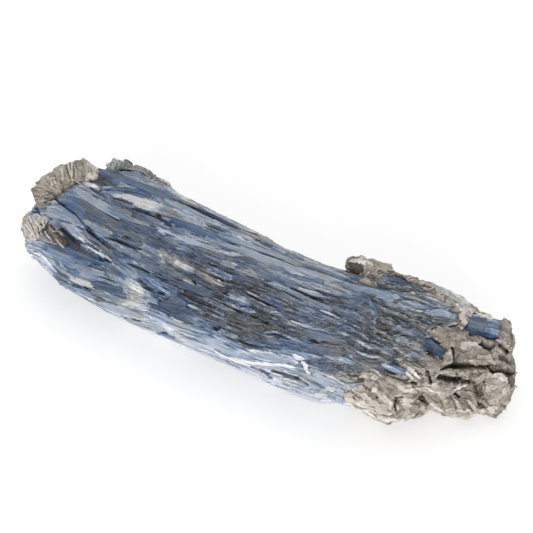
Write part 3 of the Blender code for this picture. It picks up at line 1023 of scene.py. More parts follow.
def randomSteps(rng):
    # blades all round the bundle, the broad ones first
    rings, rows = spots.shape[:2]
    for count, lengths, widths, lifts, toneSpread in skin["steps"]:
        for i, j in spreadSpots(count, count):
            crumbly = driftCrumbs[i, j]
            length = rng.uniform(*lengths) * mm * (1.2 - 0.7 * crumbly)
            wide = rng.uniform(*widths) * mm * (1.25 - 0.5 * crumbly)
            if widths[1] < 4 and rng.random() > 0.2 + 0.8 * crumbly:
                continue                                          # smooth places keep their broad blades
            down, over = alongSize[i, j], acrossSize[i, j]
            reachI = int(min(length / 2 / down + 3, 90))
            slope = slopeAt(spots[i, j]) + rng.gauss(0, 0.03 + 0.22 * crumbly ** 3)
            reachJ = int(min((wide / 2 + abs(slope) * length / 2 + 0.8 * mm) / over + 2, 60))
            ringsIn = np.arange(max(1, i - reachI), min(rings - 1, i + reachI))
            rowsIn = np.arange(j - reachJ, j + reachJ)
            block = np.ix_(ringsIn, rowsIn % rows)
            along = ((ringsIn - i) * down)[:, None] + np.zeros(len(rowsIn))
            side = ((rowsIn - j) * over)[None, :] - slope * along
            inside, share = stepShape(block, along + length / 2, side, length, wide,
                                      (rng.uniform(0, 0.8), rng.uniform(0, 0.8)), 0.4 + 0.7 * crumbly)
            lift = rng.uniform(*lifts) * mm
            shape = lift + rng.gauss(0, 0.12) * side + rng.gauss(0, 0.25) * mm * (share - 0.5)
            height[block] = np.where(inside, shape, height[block])
            change = rng.gauss(0, toneSpread) + 0.06 * lift / mm
            tone[block] = np.where(inside, driftTone[block] + change, tone[block])
            warmth[block] = np.where(inside, driftWarmth[block] + rng.gauss(0, 0.12), warmth[block])
            owner[block] = np.where(inside, rng.uniform(0.01, 1), owner[block])
            ownGrain[block] = np.where(inside[..., None], np.stack([along, side], -1) / mm, ownGrain[block])


def traceSteps(rng):
    # the blades that can be told apart; haze is pale dust that lies over them
    points, ups = spots.reshape(-1, 3), facings.reshape(-1, 3)
    for name, wide, line in bladeCourses:
        picked, along, side, length = nearLine(points, ups, line, wide)
        at = np.unravel_index(picked, height.shape)
        if name == "haze":
            fade = np.clip(1.25 - np.abs(side) / (wide / 2), 0, 1)
            fade *= np.clip(1.2 - np.abs(along / length - 0.5) * 2, 0, 1)
            haze[at] = np.maximum(haze[at], fade)
            continue
        crumbly = driftCrumbs[at].mean()
        inside, _ = stepShape(at, along, side, length, wide, (rng.uniform(0, 0.5), rng.uniform(0, 0.5)),
                              0.25 + 0.5 * crumbly)
        value, warm = tones[name]
        if value > 0.5:
            inside &= tatter[at] > -0.16 - 0.5 * (np.abs(side) < wide * 0.2)
        lift = (0.05 + 0.55 * value + rng.uniform(-0.1, 0.15)) * mm
        shape = lift + rng.gauss(0, 0.06) * side
        keep = 0.15 + 0.3 * crumbly
        height[at] = np.where(inside, shape + keep * height[at], height[at])
        tone[at] = np.where(inside, value + keep * (tone[at] - driftTone[at]), tone[at])
        warmth[at] = np.where(inside, warm, warmth[at])
        owner[at] = np.where(inside, rng.uniform(0.01, 1), owner[at])
        ownGrain[at] = np.where(inside[:, None], np.stack([along, side], -1) / mm, ownGrain[at])


def cutGaps():
    # each gap is a furrow, deepest along its middle, and painted dark to the bottom as painted shade
    points, ups = spots.reshape(-1, 3), facings.reshape(-1, 3)
    for _, wide, line in gapCourses:
        picked, along, side, length = nearLine(points, ups, line, wide * 1.6)
        at = np.unravel_index(picked, height.shape)
        inside, share = stepShape(at, along, side, length, wide * skin["gapWide"], (0.9, 0.9), 0.7)
        depth = np.clip(1 - np.abs(side) / (wide * 0.7), 0, 1) ** 0.7 * np.sin(share * math.pi) ** 0.4
        height[at] = np.where(inside, height[at] - skin["gapDeep"] * depth, height[at])
        tone[at] = np.where(inside, tone[at] * (1 - 0.75 * depth) + skin["gapShadeTone"] * depth, tone[at])


def addFibres(rng):
    # the finest splinters, added to what lies under them
    rings, rows = spots.shape[:2]
    count, lengths, widths, lift, toneSpread = skin["fibres"]
    for i, j in spreadSpots(count, count):
        down, over = alongSize[i, j], acrossSize[i, j]
        reachI = min(40, max(1, int(rng.uniform(*lengths) * mm / 2 / down)))
        wideJ = min(6, max(1, round(rng.uniform(*widths) * mm / over)))
        ringsIn = np.arange(max(1, i - reachI), min(rings - 1, i + reachI + 1))
        bend = (slopeAt(spots[i, j]) + rng.gauss(0, 0.05)) * down / over
        rowsIn = (j + np.rint((ringsIn - i) * bend)).astype(int)[:, None] + np.arange(wideJ)
        push = rng.gauss(0, 0.45 + 0.75 * driftCrumbs[i, j])
        height[ringsIn[:, None], rowsIn % rows] += push * lift * mm
        tone[ringsIn[:, None], rowsIn % rows] += push * toneSpread * 0.6 + rng.gauss(0, toneSpread * 0.7)


# the broken end, in millimetres, with each slab's tone about that of its place
brokenEnd = {
    "layers": 60, "columns": 32, "thick": (0.9, 2.6), "wide": (4, 12), "below": 15, "lean": 0.35,
    "lift": (-0.9, 0.5), "flat": 0.72, "toneSpread": 0.15, "warmth": (0.0, 0.4),
}


def breakEnd():
    # on the flat of the left end the blades are seen cut across, as slabs of their own length and tone
    chance = np.random.default_rng(skin["seed"])
    layers, columns = brokenEnd["layers"], brokenEnd["columns"]
    over = spots[..., 1] + brokenEnd["lean"] * spots[..., 2] + wanderAcross * 0.6
    up = spots[..., 2] - brokenEnd["lean"] * spots[..., 1] + wanderAcross * 0.6
    edges = (np.cumsum(chance.uniform(*brokenEnd["thick"], layers)) - brokenEnd["below"]) * mm
    layer = np.searchsorted(edges, up)
    wide = chance.uniform(*brokenEnd["wide"], layers + 1) * mm
    column = np.floor(over / wide[layer] + 0.37 * layer).astype(int) % columns
    slab = layer * columns + column
    flat = 0.08 * wanderAlong / mm - facings[..., 0] > brokenEnd["flat"]
    total = (layers + 1) * columns
    height[flat] = chance.uniform(*brokenEnd["lift"], total)[slab][flat] * mm
    tone[flat] = (driftTone + chance.normal(0, brokenEnd["toneSpread"], total)[slab])[flat]
    warmth[flat] = chance.uniform(*brokenEnd["warmth"], total)[slab][flat]
    owner[flat] = chance.uniform(0.01, 1, total)[slab][flat]
    ownGrain[flat] = np.stack([over, up], -1)[flat] / mm


def cavity(field, reach):
    # how far each spot stands above the mean of those round it
    soft = field
    for axis in (0, 1):
        soft = sum(np.roll(soft, tap, axis) for tap in range(-reach, reach + 1)) / (2 * reach + 1)
    return field - soft


def shapeSkin():
    # everything the skin carries is written into its mesh
    rng = random.Random(skin["seed"])
    randomSteps(rng)
    print("steps cut")
    traceSteps(rng)
    breakEnd()
    addFibres(rng)
    cutGaps()
    total = height + softNoise(1, 1, 21) * (0.25 + driftCrumbs + haze) * skin["crumbs"]
    total[0], total[-1] = total[1].mean(), total[-2].mean()
    out = spots + facings * total[..., None]
    out[..., 2] = np.maximum(out[..., 2], 0.05 * mm)
    # what stands above its surroundings is painted lighter as painted highlight, partly pale dust, and what
    # lies below is painted darker as painted shade
    relief = cavity(total / mm, 3)
    toneShadeStain = np.stack([tone - 0.02, relief, warmth], -1)
    setPlaces(skinPiece.data, out[skinRing, skinRow])
    grain = grainAt(out[skinRing, skinRow])
    grain[:, 2] = owner[skinRing, skinRow]
    grain[:, :2] = np.where(grain[:, 2:] > 0, ownGrain[skinRing, skinRow], grain[:, :2])
    setAttribute(skinPiece.data, "grain", grain)
    setAttribute(skinPiece.data, "toneShadeStain", toneShadeStain[skinRing, skinRow])
    setAttribute(skinPiece.data, "wear", np.stack([driftCrumbs, haze, owner], -1)[skinRing, skinRow])
    bpy.ops.object.select_all(action="DESELECT")
    skinPiece.select_set(True)
    bpy.context.view_layer.objects.active = skinPiece
    bpy.ops.object.mode_set(mode="EDIT")
    bpy.ops.mesh.select_all(action="SELECT")
    bpy.ops.mesh.remove_doubles(threshold=0.000001)
    bpy.ops.mesh.normals_make_consistent(inside=False)
    bpy.ops.object.mode_set(mode="OBJECT")
    print("skin shaped")


def splitSkin(middle):
    # the skin is parted at a ring and each part is closed there, since one piece would be too fine a mesh
    bpy.ops.object.mode_set(mode="EDIT")
    selectWhere(skinPiece, "faces", lambda corners: sum(c.x for c in corners) / len(corners) > middle)
    bpy.ops.mesh.separate(type="SELECTED")
    bpy.ops.object.mode_set(mode="OBJECT")
    halves = list(bpy.context.selected_objects)
    for half in halves:
        bpy.ops.object.select_all(action="DESELECT")
        half.select_set(True)
        bpy.context.view_layer.objects.active = half
        bpy.ops.object.mode_set(mode="EDIT")
        bpy.ops.mesh.select_mode(type="EDGE")
        bpy.ops.mesh.select_all(action="DESELECT")
        bpy.ops.mesh.select_non_manifold()
        bpy.ops.mesh.extrude_region_move()
        bpy.ops.mesh.merge(type="CENTER")
        bpy.ops.mesh.select_all(action="SELECT")
        bpy.ops.mesh.normals_make_consistent(inside=False)
        bpy.ops.object.mode_set(mode="OBJECT")
        print(half.name, len(half.data.polygons), "faces")
    return halves


shapeSkin()
skinHalves = splitSkin(spots[skin["rings"] // 2][:, 0].mean())

# Kyanite: glassy blades with a pearly cleavage, grey-blue in streaks that run along each blade.
# The eye sees a satin gleam, dark seams between blades, painted darker as painted shade, and pale edges,
# partly dust and partly painted highlight.
kyanite = {
    "plain": [(0.0, "0c1420"), (0.14, "1c3352"), (0.30, "355379"), (0.46, "5a7492"), (0.62, "8696ad"),
              (0.78, "aab3c6"), (0.92, "c7cddb"), (1.0, "e0e3ea")],
    "stained": [(0.0, "121417"), (0.2, "36393d"), (0.4, "606467"), (0.6, "909190"), (0.8, "bdbbb6"),
                (1.0, "e4e3de")],
    # each pattern: what it follows, its repeats for each millimetre, its detail, its strength in tone,
    # how much more of it crumbly places have, and its strength in bump
    "patterns": {
        "streaks": ("grain", (0.07, 0.9, 37), 3.0, 0.25, 0.0, 0.8),
        "fibres": ("grain", (0.16, 2.6, 61), 4.0, 0.14, 0.0, 0.4),
        "patches": ("grain", (0.10, 0.22, 17), 2.0, 0.30, 0.0, 0.0),
        "dust": ("spot", (0.95, 0.95, 0.95), 4.0, 0.11, 0.10, 0.3),
        "crumbs": ("grain", (0.50, 1.3, 23), 5.0, 0.0, 0.36, 0.5),
    },
    # relief: how strongly the painted shade in hollows and the painted highlight on ridges and rims, partly
    # pale dust, are added to the tone
    "relief": 0.22,
    "stain": (0.16, (0.44, 0.66), 0.50),         # repeats for each millimetre, where it sets in, how strong
    # what it follows, repeats for each millimetre, where it sets in, how strong
    "powder": ("grain", (0.55, 1.5, 29), (0.62, 0.78), 0.72),
    "powderColours": [(0.10, "86837c"), (0.40, "b3b1ab"), (0.75, "e6e7e6")],
    "roughness": 0.42, "ior": 1.72,
}


def stoneMaterial(name, recipe):
    material, tree = newMaterial(name)
    grain, toneShadeStain, wear = [addNode(tree, "ShaderNodeAttribute", attribute_name=key).outputs["Vector"]
                           for key in ("grain", "toneShadeStain", "wear")]
    toneShadeStain = addNode(tree, "ShaderNodeSeparateXYZ", {"Vector": toneShadeStain}).outputs
    wear = addNode(tree, "ShaderNodeSeparateXYZ", {"Vector": wear}).outputs
    spot = addNode(tree, "ShaderNodeTexCoord").outputs["Object"]
    inMillimetres = addNode(tree, "ShaderNodeVectorMath", {0: spot, "Scale": 1000.0}, operation="SCALE")
    follows = {"grain": grain, "spot": inMillimetres.outputs["Vector"]}
    # the attribute's second value is painted shade in hollows and painted highlight on ridges and rims,
    # partly pale dust; it is added to the tone
    tone = addNode(tree, "ShaderNodeMath", {0: toneShadeStain["Y"], 1: recipe["relief"], 2: toneShadeStain["X"]},
                   operation="MULTIPLY_ADD").outputs[0]
    relief = None
    for place, scale, detail, inTone, inCrumbs, inBump in recipe["patterns"].values():
        stretched = addNode(tree, "ShaderNodeVectorMath", {0: follows[place], 1: scale},
                            operation="MULTIPLY").outputs["Vector"]
        pattern = addNode(tree, "ShaderNodeTexNoise", {"Vector": stretched, "Scale": 1.0, "Detail": detail,
                                                       "Roughness": 0.64}).outputs["Fac"]
        centred = addNode(tree, "ShaderNodeMath", {0: pattern, 1: 0.5}, operation="SUBTRACT").outputs[0]
        strength = addNode(tree, "ShaderNodeMath", {0: wear["X"], 1: inCrumbs, 2: inTone},
                           operation="MULTIPLY_ADD").outputs[0]
        tone = addNode(tree, "ShaderNodeMath", {0: centred, 1: strength, 2: tone},
                       operation="MULTIPLY_ADD").outputs[0]
        relief = addNode(tree, "ShaderNodeMath", {0: pattern, 1: inBump, 2: relief or 0.0},
                         operation="MULTIPLY_ADD").outputs[0]
    plain = addNode(tree, "ShaderNodeValToRGB", {"Fac": tone}, stops=recipe["plain"]).outputs["Color"]
    stained = addNode(tree, "ShaderNodeValToRGB", {"Fac": tone}, stops=recipe["stained"]).outputs["Color"]
    # the stain lies in clouds, and more of it where the surface itself is stained
    repeats, (setsIn, full), most = recipe["stain"]
    clouds = addNode(tree, "ShaderNodeTexNoise", {"Vector": spot, "Scale": repeats * 1000, "Detail": 3.0})
    cloudy = addNode(tree, "ShaderNodeMapRange", {"Value": clouds.outputs["Fac"], "From Min": setsIn,
                                                  "From Max": full, "To Max": most}).outputs["Result"]
    stain = addNode(tree, "ShaderNodeMath", {0: toneShadeStain["Z"], 1: cloudy}, operation="ADD", use_clamp=True)
    colour = addNode(tree, "ShaderNodeMix", {0: stain.outputs[0], 6: plain, 7: stained},
                     data_type="RGBA").outputs[2]
    # pale powder of crushed mica lies in grains, and most where the surface is crumbly or hazed
    place, scale, (setsIn, full), most = recipe["powder"]
    stretched = addNode(tree, "ShaderNodeVectorMath", {0: follows[place], 1: scale},
                        operation="MULTIPLY").outputs["Vector"]
    amount = addNode(tree, "ShaderNodeTexNoise", {"Vector": stretched, "Scale": 1.0, "Detail": 5.0,
                                                  "Roughness": 0.75}).outputs["Fac"]
    for source, part in (("X", 0.15), ("Y", 0.28)):
        amount = addNode(tree, "ShaderNodeMath", {0: wear[source], 1: part, 2: amount},
                         operation="MULTIPLY_ADD").outputs[0]
    powdery = addNode(tree, "ShaderNodeMapRange", {"Value": amount, "From Min": setsIn, "From Max": full,
                                                   "To Max": most}).outputs["Result"]
    powder = addNode(tree, "ShaderNodeValToRGB", {"Fac": tone}, stops=recipe["powderColours"])
    colour = addNode(tree, "ShaderNodeMix", {0: powdery, 6: colour, 7: powder.outputs["Color"]},
                     data_type="RGBA").outputs[2]
    bump = addNode(tree, "ShaderNodeBump", {"Height": relief, "Strength": 0.6, "Distance": 0.5 * mm})
    shader = addNode(tree, "ShaderNodeBsdfPrincipled",
                     {"Base Color": colour, "Normal": bump.outputs["Normal"],
                      "Roughness": recipe["roughness"], "IOR": recipe["ior"]})
    addNode(tree, "ShaderNodeOutputMaterial", {"Surface": shader.outputs["BSDF"]})
    return material


# The blades that stand proud of the skin: tone, width, how far each end narrows, and the course in pixels.
proudBlades = """
slate 9 .30 .70   60,190 75,200 92,212 110,222 126,231
dusty 6 .25 .80   66,186 78,192 90,199 104,209
dusty 8 .25 .80   76,190 88,199 102,209 120,220
navy 7 .20 .60    98,173 107,176 118,181
denim 8 .20 .80   112,177 128,183 150,192 166,200
navy 4 .50 .60    102,193 114,191 128,190 142,192 158,196
ivory 5 .80 .30   112,196 124,198 138,200 152,204
ivory 9 .80 .20   126,199 140,202 152,205 164,209
denim 5 .40 .60   100,188 118,189 138,192 157,199
dusty 5 .50 .80   166,202 180,209 194,217 208,225
denim 6 .50 .50   172,222 184,226 198,232 214,240 232,247
steel 8 .40 .70   33,240 48,249 66,258 86,264
denim 5 .40 .60   70,250 86,258 104,264
lavender 6 .40 .70 31,238 38,250 47,262 58,272
navy 8 .20 .30   93,284 108,288 123,291
ivory 6 .30 .50   70,277 82,282 94,285
navy 7 .30 .60   176,283 192,288 214,297
navy 7 .30 .60    161,304 178,309 202,317
pale 5 .50 .80    148,311 168,319 190,327 212,334
pale 8 .50 .80    98,302 120,308 145,317
navy 4 .60 .80    188,206 208,214 232,227 254,238
pale 4 .60 .80    222,226 244,234 268,243 292,256 306,264
pale 5 .50 .80    262,241 276,247 290,255
steel 5 .50 .80   303,266 322,272 346,281
lavender 4 .50 .70 312,267 330,272 348,279
pale 3 .50 .70    282,249 296,256 308,263
pale 5 .50 .80    218,236 240,244 262,252 288,262 306,269
pale 8 .50 .80    220,246 242,252 268,261 300,271
pale 7 .50 .80   296,269 320,277 348,286
white 4 .60 .60   226,356 250,361 275,364 299,366
pale 7 .50 .80    238,350 256,354 278,358 300,362
lavender 6 .50 .80 230,364 252,372 274,381 294,389
pale 6 .50 .80    300,371 322,380 346,388
lavender 8 .50 .80 290,390 312,398 334,404
slate 8 .40 .60   303,332 324,337 346,344
slate 8 .40 .70   310,348 326,351 346,354
steel 9 .40 .70   345,286 366,292 394,300
pale 7 .40 .50    428,315 440,313 455,318
white 5 .20 .60   295,355 299,357 304,359
white 4 .60 .70   303,361 306,366 308,372
steel 1.6 .60 .60 364,296 358,304 350,312
steel 1.6 .60 .60 366,297 373,306 379,318
navy 5 .60 .80   384,275 398,281 414,289
"""
# their depth, and the spread of what chance gives each one, in millimetres
proud = {
    "deep": 2.4, "ragged": (0.4, 0.9), "lift": (0.35, 0.7), "endLift": (0.2, 0.5),
    "dive": (0, 0.5), "endDive": (0.2, 0.9), "waves": (4, 9), "roll": 0.10, "grooved": 1.2,
}


def standOf(trees, spot, up, above=4 * mm):
    # how high the skin stands over a point of the ground beneath it
    hits = [tree.ray_cast(spot + up * above, -up, above) for tree in trees]
    return max([above - reach for hit, _, _, reach in hits if hit is not None], default=0.0)


def layProudBlades(rng):
    # each one lies on the skin as it stands there
    laid = []
    surfaces = bpy.context.evaluated_depsgraph_get()
    skins = [BVHTree.FromObject(half, surfaces) for half in skinHalves]
    for row in proudBlades.strip().splitlines():
        name, wide, first, last, *course = row.split()
        line, facing = castLine(bodyTree, pixelRun(" ".join(course)), 10)
        wide = float(wide) * pixelSize(line[5])
        ragged, *lifts = [rng.uniform(*proud[key]) * mm for key in ("ragged", "lift", "endLift")]
        dives = [rng.uniform(*proud[key]) * mm for key in ("dive", "endDive")]
        look = {"wide": wide, "deep": proud["deep"] * mm, "offset": 0.0, "ragged": ragged, "dive": dives,
                "taper": (float(first), float(last)), "tipLength": 0.14, "wave": 0.10,
                "waves": rng.uniform(*proud["waves"]), "roll": rng.gauss(0, proud["roll"]) * wide,
                "buckle": 0.07 * mm, "tone": tones[name], "rim": 0.35}
        stands = [standOf(skins, Vector(spot), Vector(up)) for spot, up in zip(line, facing)]
        look["lift"] = [lift + float(np.median(stands)) for lift in lifts]
        laid.append(layBlade("wide" if wide > proud["grooved"] * mm else "plain", line, facing, look, rng))
    return joinPieces("proudBlades", laid)


kyaniteMaterial = stoneMaterial("kyaniteBlades", kyanite)
proudPiece = layProudBlades(random.Random(12))
setAttribute(proudPiece.data, "wear", np.full((len(proudPiece.data.vertices), 3), (0.3, 0.0, 0.0)))
bpy.data.objects.remove(body)
for piece in (*skinHalves, proudPiece):
    piece.data.materials.clear()
    piece.data.materials.append(kyaniteMaterial)
    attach(piece, "root")
    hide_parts("kyanite_bundle")
for blade in stock.values():
    bpy.data.objects.remove(blade)
print("kyanite finished")


# Mica and the short crystals: each piece is its CAD solid's ground with flakes cut into it, as steps that
# overlap like shingles. Courses in pixels give the flakes that can be told apart, and the ones between
# them lean the same way.
# black flakes are laid in clefts and hollows as painted shade
leafTones = {"black": 0.06, "bark": 0.20, "brown": 0.32, "stone": 0.45, "grey": 0.54, "beige": 0.62,
             "pale": 0.74, "cream": 0.84, "white": 0.95}

# name of the tone, width and course of each flake, in the order they overlap
# the pale and cream flakes along the lower edge of the schist end are made pale partly as painted light
# coming up from the floor
leafCourses = {
    "mica_schist_end": """
white 3 388,364 400,370 412,378
cream 3 395,362 408,368 420,378
beige 3 384,368 396,376 408,382
beige 3 400,362 414,368 426,378
beige 3 408,362 422,370 430,380
grey 3 372,366 384,372 396,379 404,383
stone 3 360,364 372,367 382,372
beige 4 378,374 392,382 404,388
grey 5  358,368 366,374 372,382
bark 4  355,372 361,384 366,389
pale 5  360,377 364,375 368,380
pale 4  340,380 348,384 354,390
cream 2 338,385 350,394 360,399
cream 5 336,388 348,398 362,405
white 5 338,393 346,401 355,407
cream 2 342,379 352,388 364,398 378,407
cream 4 345,396 358,404 374,410 392,413
cream 4 352,404 370,412 390,417 402,418
pale 6  372,387 376,392 380,397
bark 2  366,387 372,392 380,400
cream 9 382,394 388,402 392,408
pale 6  362,392 370,400 380,407
pale 8  402,398 408,401 414,399
cream 2 402,360 413,367 424,376
brown 1 404,359 416,367 427,376
pale 2  406,358 418,366 429,375
brown 1 409,358 421,366 431,374
grey 5  378,382 388,386 398,390
pale 6 396,386 406,390 416,392
black 3 397,396 394,403 396,410
cream 3 415,388 430,391 445,393 456,391 466,386 471,382
beige 3 420,386 435,386 450,387 462,385
stone 6 424,366 432,370 440,371
bark 5  430,373 441,376 453,380 463,382
grey 4  440,370 448,372 456,375
black 5 434,377 448,380 462,380
beige 3 458,373 463,374 468,376
stone 5 442,362 450,358 455,352
brown 4 455,346 457,355 456,362
beige 5 426,362 436,358 446,352
beige 5 436,352 444,356 452,352
stone 3 420,326 432,325 446,330
stone 6 428,333 438,335 447,338
stone 5 405,327 420,331 432,337
beige 6 430,358 440,362 450,365
stone 5 450,331 465,334 478,340
stone 4 448,338 456,342 462,350
pale 7  460,345 470,344 480,346
pale 2  482,330 492,342 502,355
brown 4 485,330 495,343 504,355
pale 2  488,330 498,342 506,353
stone 4 476,333 484,342 492,350
stone 8 466,353 480,354 494,352
beige 6 478,357 490,358 500,356
beige 2.5 466,360 482,362 496,360
brown 4 450,365 462,367 474,369
stone 6 496,346 502,352 507,358
bark 4  500,356 506,360 510,366
grey 6  500,362 506,366 511,370
pale 6  477,378 488,374 500,376 509,381
beige 6 474,386 486,389 498,386
bark 3  466,380 472,382 477,384
grey 5  484,380 494,382 503,384
bark 6  506,372 511,378 513,386
beige 5 468,393 476,397 486,395
stone 6 474,392 484,398 494,398
beige 4 440,396 446,404 448,412
brown 2 436,396 442,404 444,412
beige 4 452,396 458,404 462,413
brown 2 449,394 455,404 458,413
pale 4  430,403 438,409 450,414
beige 4 466,398 472,406 478,413
brown 2 463,397 469,406 474,413
grey 4  480,400 488,406 492,413
bark 2  476,400 484,407 489,414
pale 4  497,400 504,392 510,384
beige 4 490,402 500,396 508,388
pale 5  446,416 462,417 480,415
cream 6 350,408 372,415 395,420
beige 5 396,420 404,416 412,409
pale 7  424,412 440,414 455,417
pale 6  470,414 484,412 498,406
black 6 452,378 460,381 470,383
black 3 438,378 450,381 460,382
brown 5 450,326 460,327 468,329
brown 4 455,396 463,402 470,408
bark 4  452,366 462,367 474,369
pale 5  430,408 450,410 470,410
pale 6  356,400 372,406 388,412
beige 4 425,404 432,409 440,412
pale 5  457,316 463,315 469,318
stone 4 454,323 462,324 468,327
grey 5  502,318 506,324 508,331
stone 5 503,332 507,335 508,340
grey 4  500,338 504,343 508,348
cream 3 474,310 484,311 496,313
cream 5 384,396 392,402 398,410
""",
    "mica_book_top_left": "",
    "kyanite_stub_right": """
navy 5 468,318 480,320 492,322
denim 4 470,323 482,325 494,327
navy 3 470,328 484,331 498,334
denim 3 484,319 492,321 500,323
pale 4 488,320 494,321 500,323
steel 3 487,324 494,326 500,328
pale 3 488,328 494,330 500,332
grey 3 486,331 493,333 500,335
lavender 1.5 470,315 482,316 497,318
""",
    "kyanite_crystal_dark": """
navy 4 428,344 436,347 446,350
night 3 428,348 436,351 444,354
denim 2 430,342 438,345 447,348
""",
    "kyanite_crystal_bright": """
pale 4 377,360 390,364 406,368
lavender 2 380,364 392,367 406,372
steel 3 382,368 394,371 408,374
""",
    "mica_fan_left_end": """
cream 3 25,219 34,217 48,219
""",
    "mica_crust_back_left": """
stone 4 117,170 120,163 124,160
grey 4  120,165 127,162 134,165
bark 3  128,171 140,174 152,179
grey 4  130,164 142,169 154,175
beige 3 138,179 152,182 168,188
stone 4 150,172 160,179 168,186
black 2 118,171 128,170 134,172
cream 3 160,180 170,186 180,192
pale 3  118,167 122,161 126,160
""",
    "mica_block_back_right": """
bark 14 348,267 356,268 364,271
brown 4 345,275 346,269 349,263
pale 5  350,261 362,261 374,266
cream 4 358,263 368,264 378,268
beige 4 366,265 376,269 386,271
brown 2 368,278 374,273 382,270
pale 2  366,279 372,274 380,270
brown 2 372,281 378,276 384,272
beige 3 374,281 380,277 385,273
beige 4 352,278 362,279 370,283
grey 4  356,281 366,283 376,280
""",
}

# mica that has grown over the blades beside a piece: place in pixels, and radii in millimetres
leafLumps = {
    "mica_schist_end": [
        ((424, 330), (3.0, 2.0, 2.4)), ((436, 334), (3.8, 2.4, 2.6)), ((451, 333), (3.8, 2.6, 2.8)),
        ((463, 320), (2.6, 2.2, 2.2)), ((463, 334), (4.4, 3.6, 3.0)), ((452, 344), (4.4, 3.4, 2.8)),
        ((452, 357), (4.4, 3.2, 2.8)), ((432, 366), (4.6, 3.0, 2.8)), ((414, 374), (4.6, 2.6, 2.4)),
        ((396, 380), (4.2, 2.2, 2.0)), ((372, 376), (4.4, 2.6, 2.6)), ((356, 380), (3.8, 2.6, 2.4)),
        ((480, 340), (4.4, 3.2, 2.6)), ((506, 324), (2.6, 2.8, 2.6)), ((507, 337), (2.8, 2.8, 2.6)),
        ((484, 311), (4.6, 1.2, 1.4)), ((512, 372), (2.4, 3.0, 3.0)),
        ((508, 390), (3.0, 3.0, 2.6)), ((352, 396), (3.0, 2.4, 2.4)),
        ((438, 293), (4.2, 1.6, 1.3)), ((451, 301), (3.8, 1.6, 1.3)), ((462, 309), (3.0, 1.6, 1.3)),
    ],
    "mica_book_top_left": [((92, 176), (2.8, 2.6, 2.0)), ((82, 180), (3.4, 1.6, 1.6))],
    "mica_fan_left_end": [
        ((42, 222), (3.0, 2.6, 2.4)), ((47, 228), (2.6, 3.0, 2.4)), ((51, 232), (2.6, 2.8, 2.4)),
        ((56, 238), (2.8, 2.8, 2.4)), ((62, 243), (2.8, 2.2, 2.2)),
    ],
    "mica_block_back_right": [
        ((366, 279), (4.0, 1.8, 2.0)), ((380, 275), (3.4, 1.8, 1.8)), ((396, 273), (4.6, 1.6, 1.6)),
        ((411, 278), (4.6, 1.6, 1.6)), ((425, 285), (4.2, 1.6, 1.6)),
    ],
}

# clefts between the leaves: width and course; each is cut in and painted dark as painted shade
leafGaps = {
    "mica_schist_end": """
3 440,369 448,365 455,363 463,364 472,367 484,367 496,369 508,371 514,376
2 512,372 515,378 515,384
5 480,343 486,346 493,349
3 420,396 424,401 428,406
2 466,382 471,384
2 455,393 460,397
2 360,365 378,370 395,378 418,384
2 393,400 395,406 397,412
2 398,396 403,397
2 469,317 468,322 470,327
2 427,371 429,378 431,384
2 452,347 455,356 454,363
3 500,344 504,349 508,354
2 340,376 352,372 362,370
4 437,377 448,380 460,381
""",
}

# name: fineness of the ground and how far it is sunk, then how many leaves, their length and width,
# in millimetres, their tilt, and their tone and its spread
leafPieces = {
    "mica_schist_end": {
        "stone": "mica", "slot": "mica_schist", "voxel": 0.42, "sink": 0.5, "leaves": 4200,
        "long": (1.4, 5.0), "wide": (0.5, 2.0), "tilt": 0.24, "tone": 0.57, "spread": 0.10, "plates": 240,
    },
    "mica_book_top_left": {
        "stone": "mica", "slot": "mica_book", "voxel": 0.34, "sink": 0.4, "leaves": 500,
        "long": (1.5, 6.0), "wide": (0.3, 0.7), "tilt": 0.30, "tone": 0.56, "spread": 0.12, "rough": 0.55,
    },
    "mica_fan_left_end": {
        "stone": "mica", "slot": "mica_fan", "voxel": 0.32, "sink": 0.3, "leaves": 300,
        "long": (1.5, 5.0), "wide": (0.3, 0.9), "tilt": 0.3, "tone": 0.70, "spread": 0.10, "rough": 0.7,
        "wholeMounds": True,
    },
    "mica_crust_back_left": {
        "stone": "kyanite", "slot": "mica_crust", "voxel": 0.38, "sink": 0.3, "leaves": 500,
        "long": (2.0, 8.0), "wide": (0.4, 1.4), "tilt": 0.4, "tone": 0.57, "spread": 0.12, "rough": 1.8,
        "stain": 1.0, "crumbs": 0.4, "plates": 40,
    },
    "mica_block_back_right": {
        "stone": "mica", "slot": "mica_brown", "voxel": 0.36, "sink": 0.3, "leaves": 350,
        "long": (1.5, 6.0), "wide": (0.4, 1.4), "tilt": 0.4, "tone": 0.57, "spread": 0.14, "plates": 24,
    },
    "kyanite_stub_right": {
        "stone": "kyanite", "slot": "kyanite_stub", "voxel": 0.26, "sink": 0.9, "leaves": 60,
        "long": (6.0, 16.0), "wide": (0.3, 1.0), "tilt": 0.1, "tone": 0.42, "spread": 0.07,
    },
    "kyanite_crystal_dark": {
        "stone": "kyanite", "slot": "kyanite_dark", "voxel": 0.24, "sink": 0.8, "leaves": 40,
        "long": (4.0, 9.0), "wide": (0.3, 1.0), "tilt": 0.08, "tone": 0.24, "spread": 0.05,
    },
    "kyanite_crystal_bright": {
        "stone": "kyanite", "slot": "kyanite_bright", "voxel": 0.24, "sink": 0.9, "leaves": 50,
        "long": (5.0, 12.0), "wide": (0.3, 1.0), "tilt": 0.1, "tone": 0.52, "spread": 0.08,
    },
}


# the book's leaves stand across its outline, and each one starts on its outer edge and ends on its inner one
book = {
    "outer": "38,200 44,190 50,181 55,172 62,167 71,163 80,159 92,158 96,166",
    "inner": "46,199 50,193 56,188 62,183 67,180 74,181 84,182 93,183 98,184",
    "ribs": 38, "slip": 0.4, "stray": 1.3, "bow": (1.0, 1.2), "wide": (0.9, 2.8), "seed": 5,
    "clefts": 0.5, "cleftWide": (0.5, 1.3), "cleftShift": (1.6, 0.6),      # share of the ribs that have one
}


def placeOn(edge, mark):
    return [np.interp(mark, range(len(edge)), edge[:, axis]) for axis in (0, 1)]


def courseText(points):
    return " ".join("%.1f,%.1f" % tuple(p) for p in points)


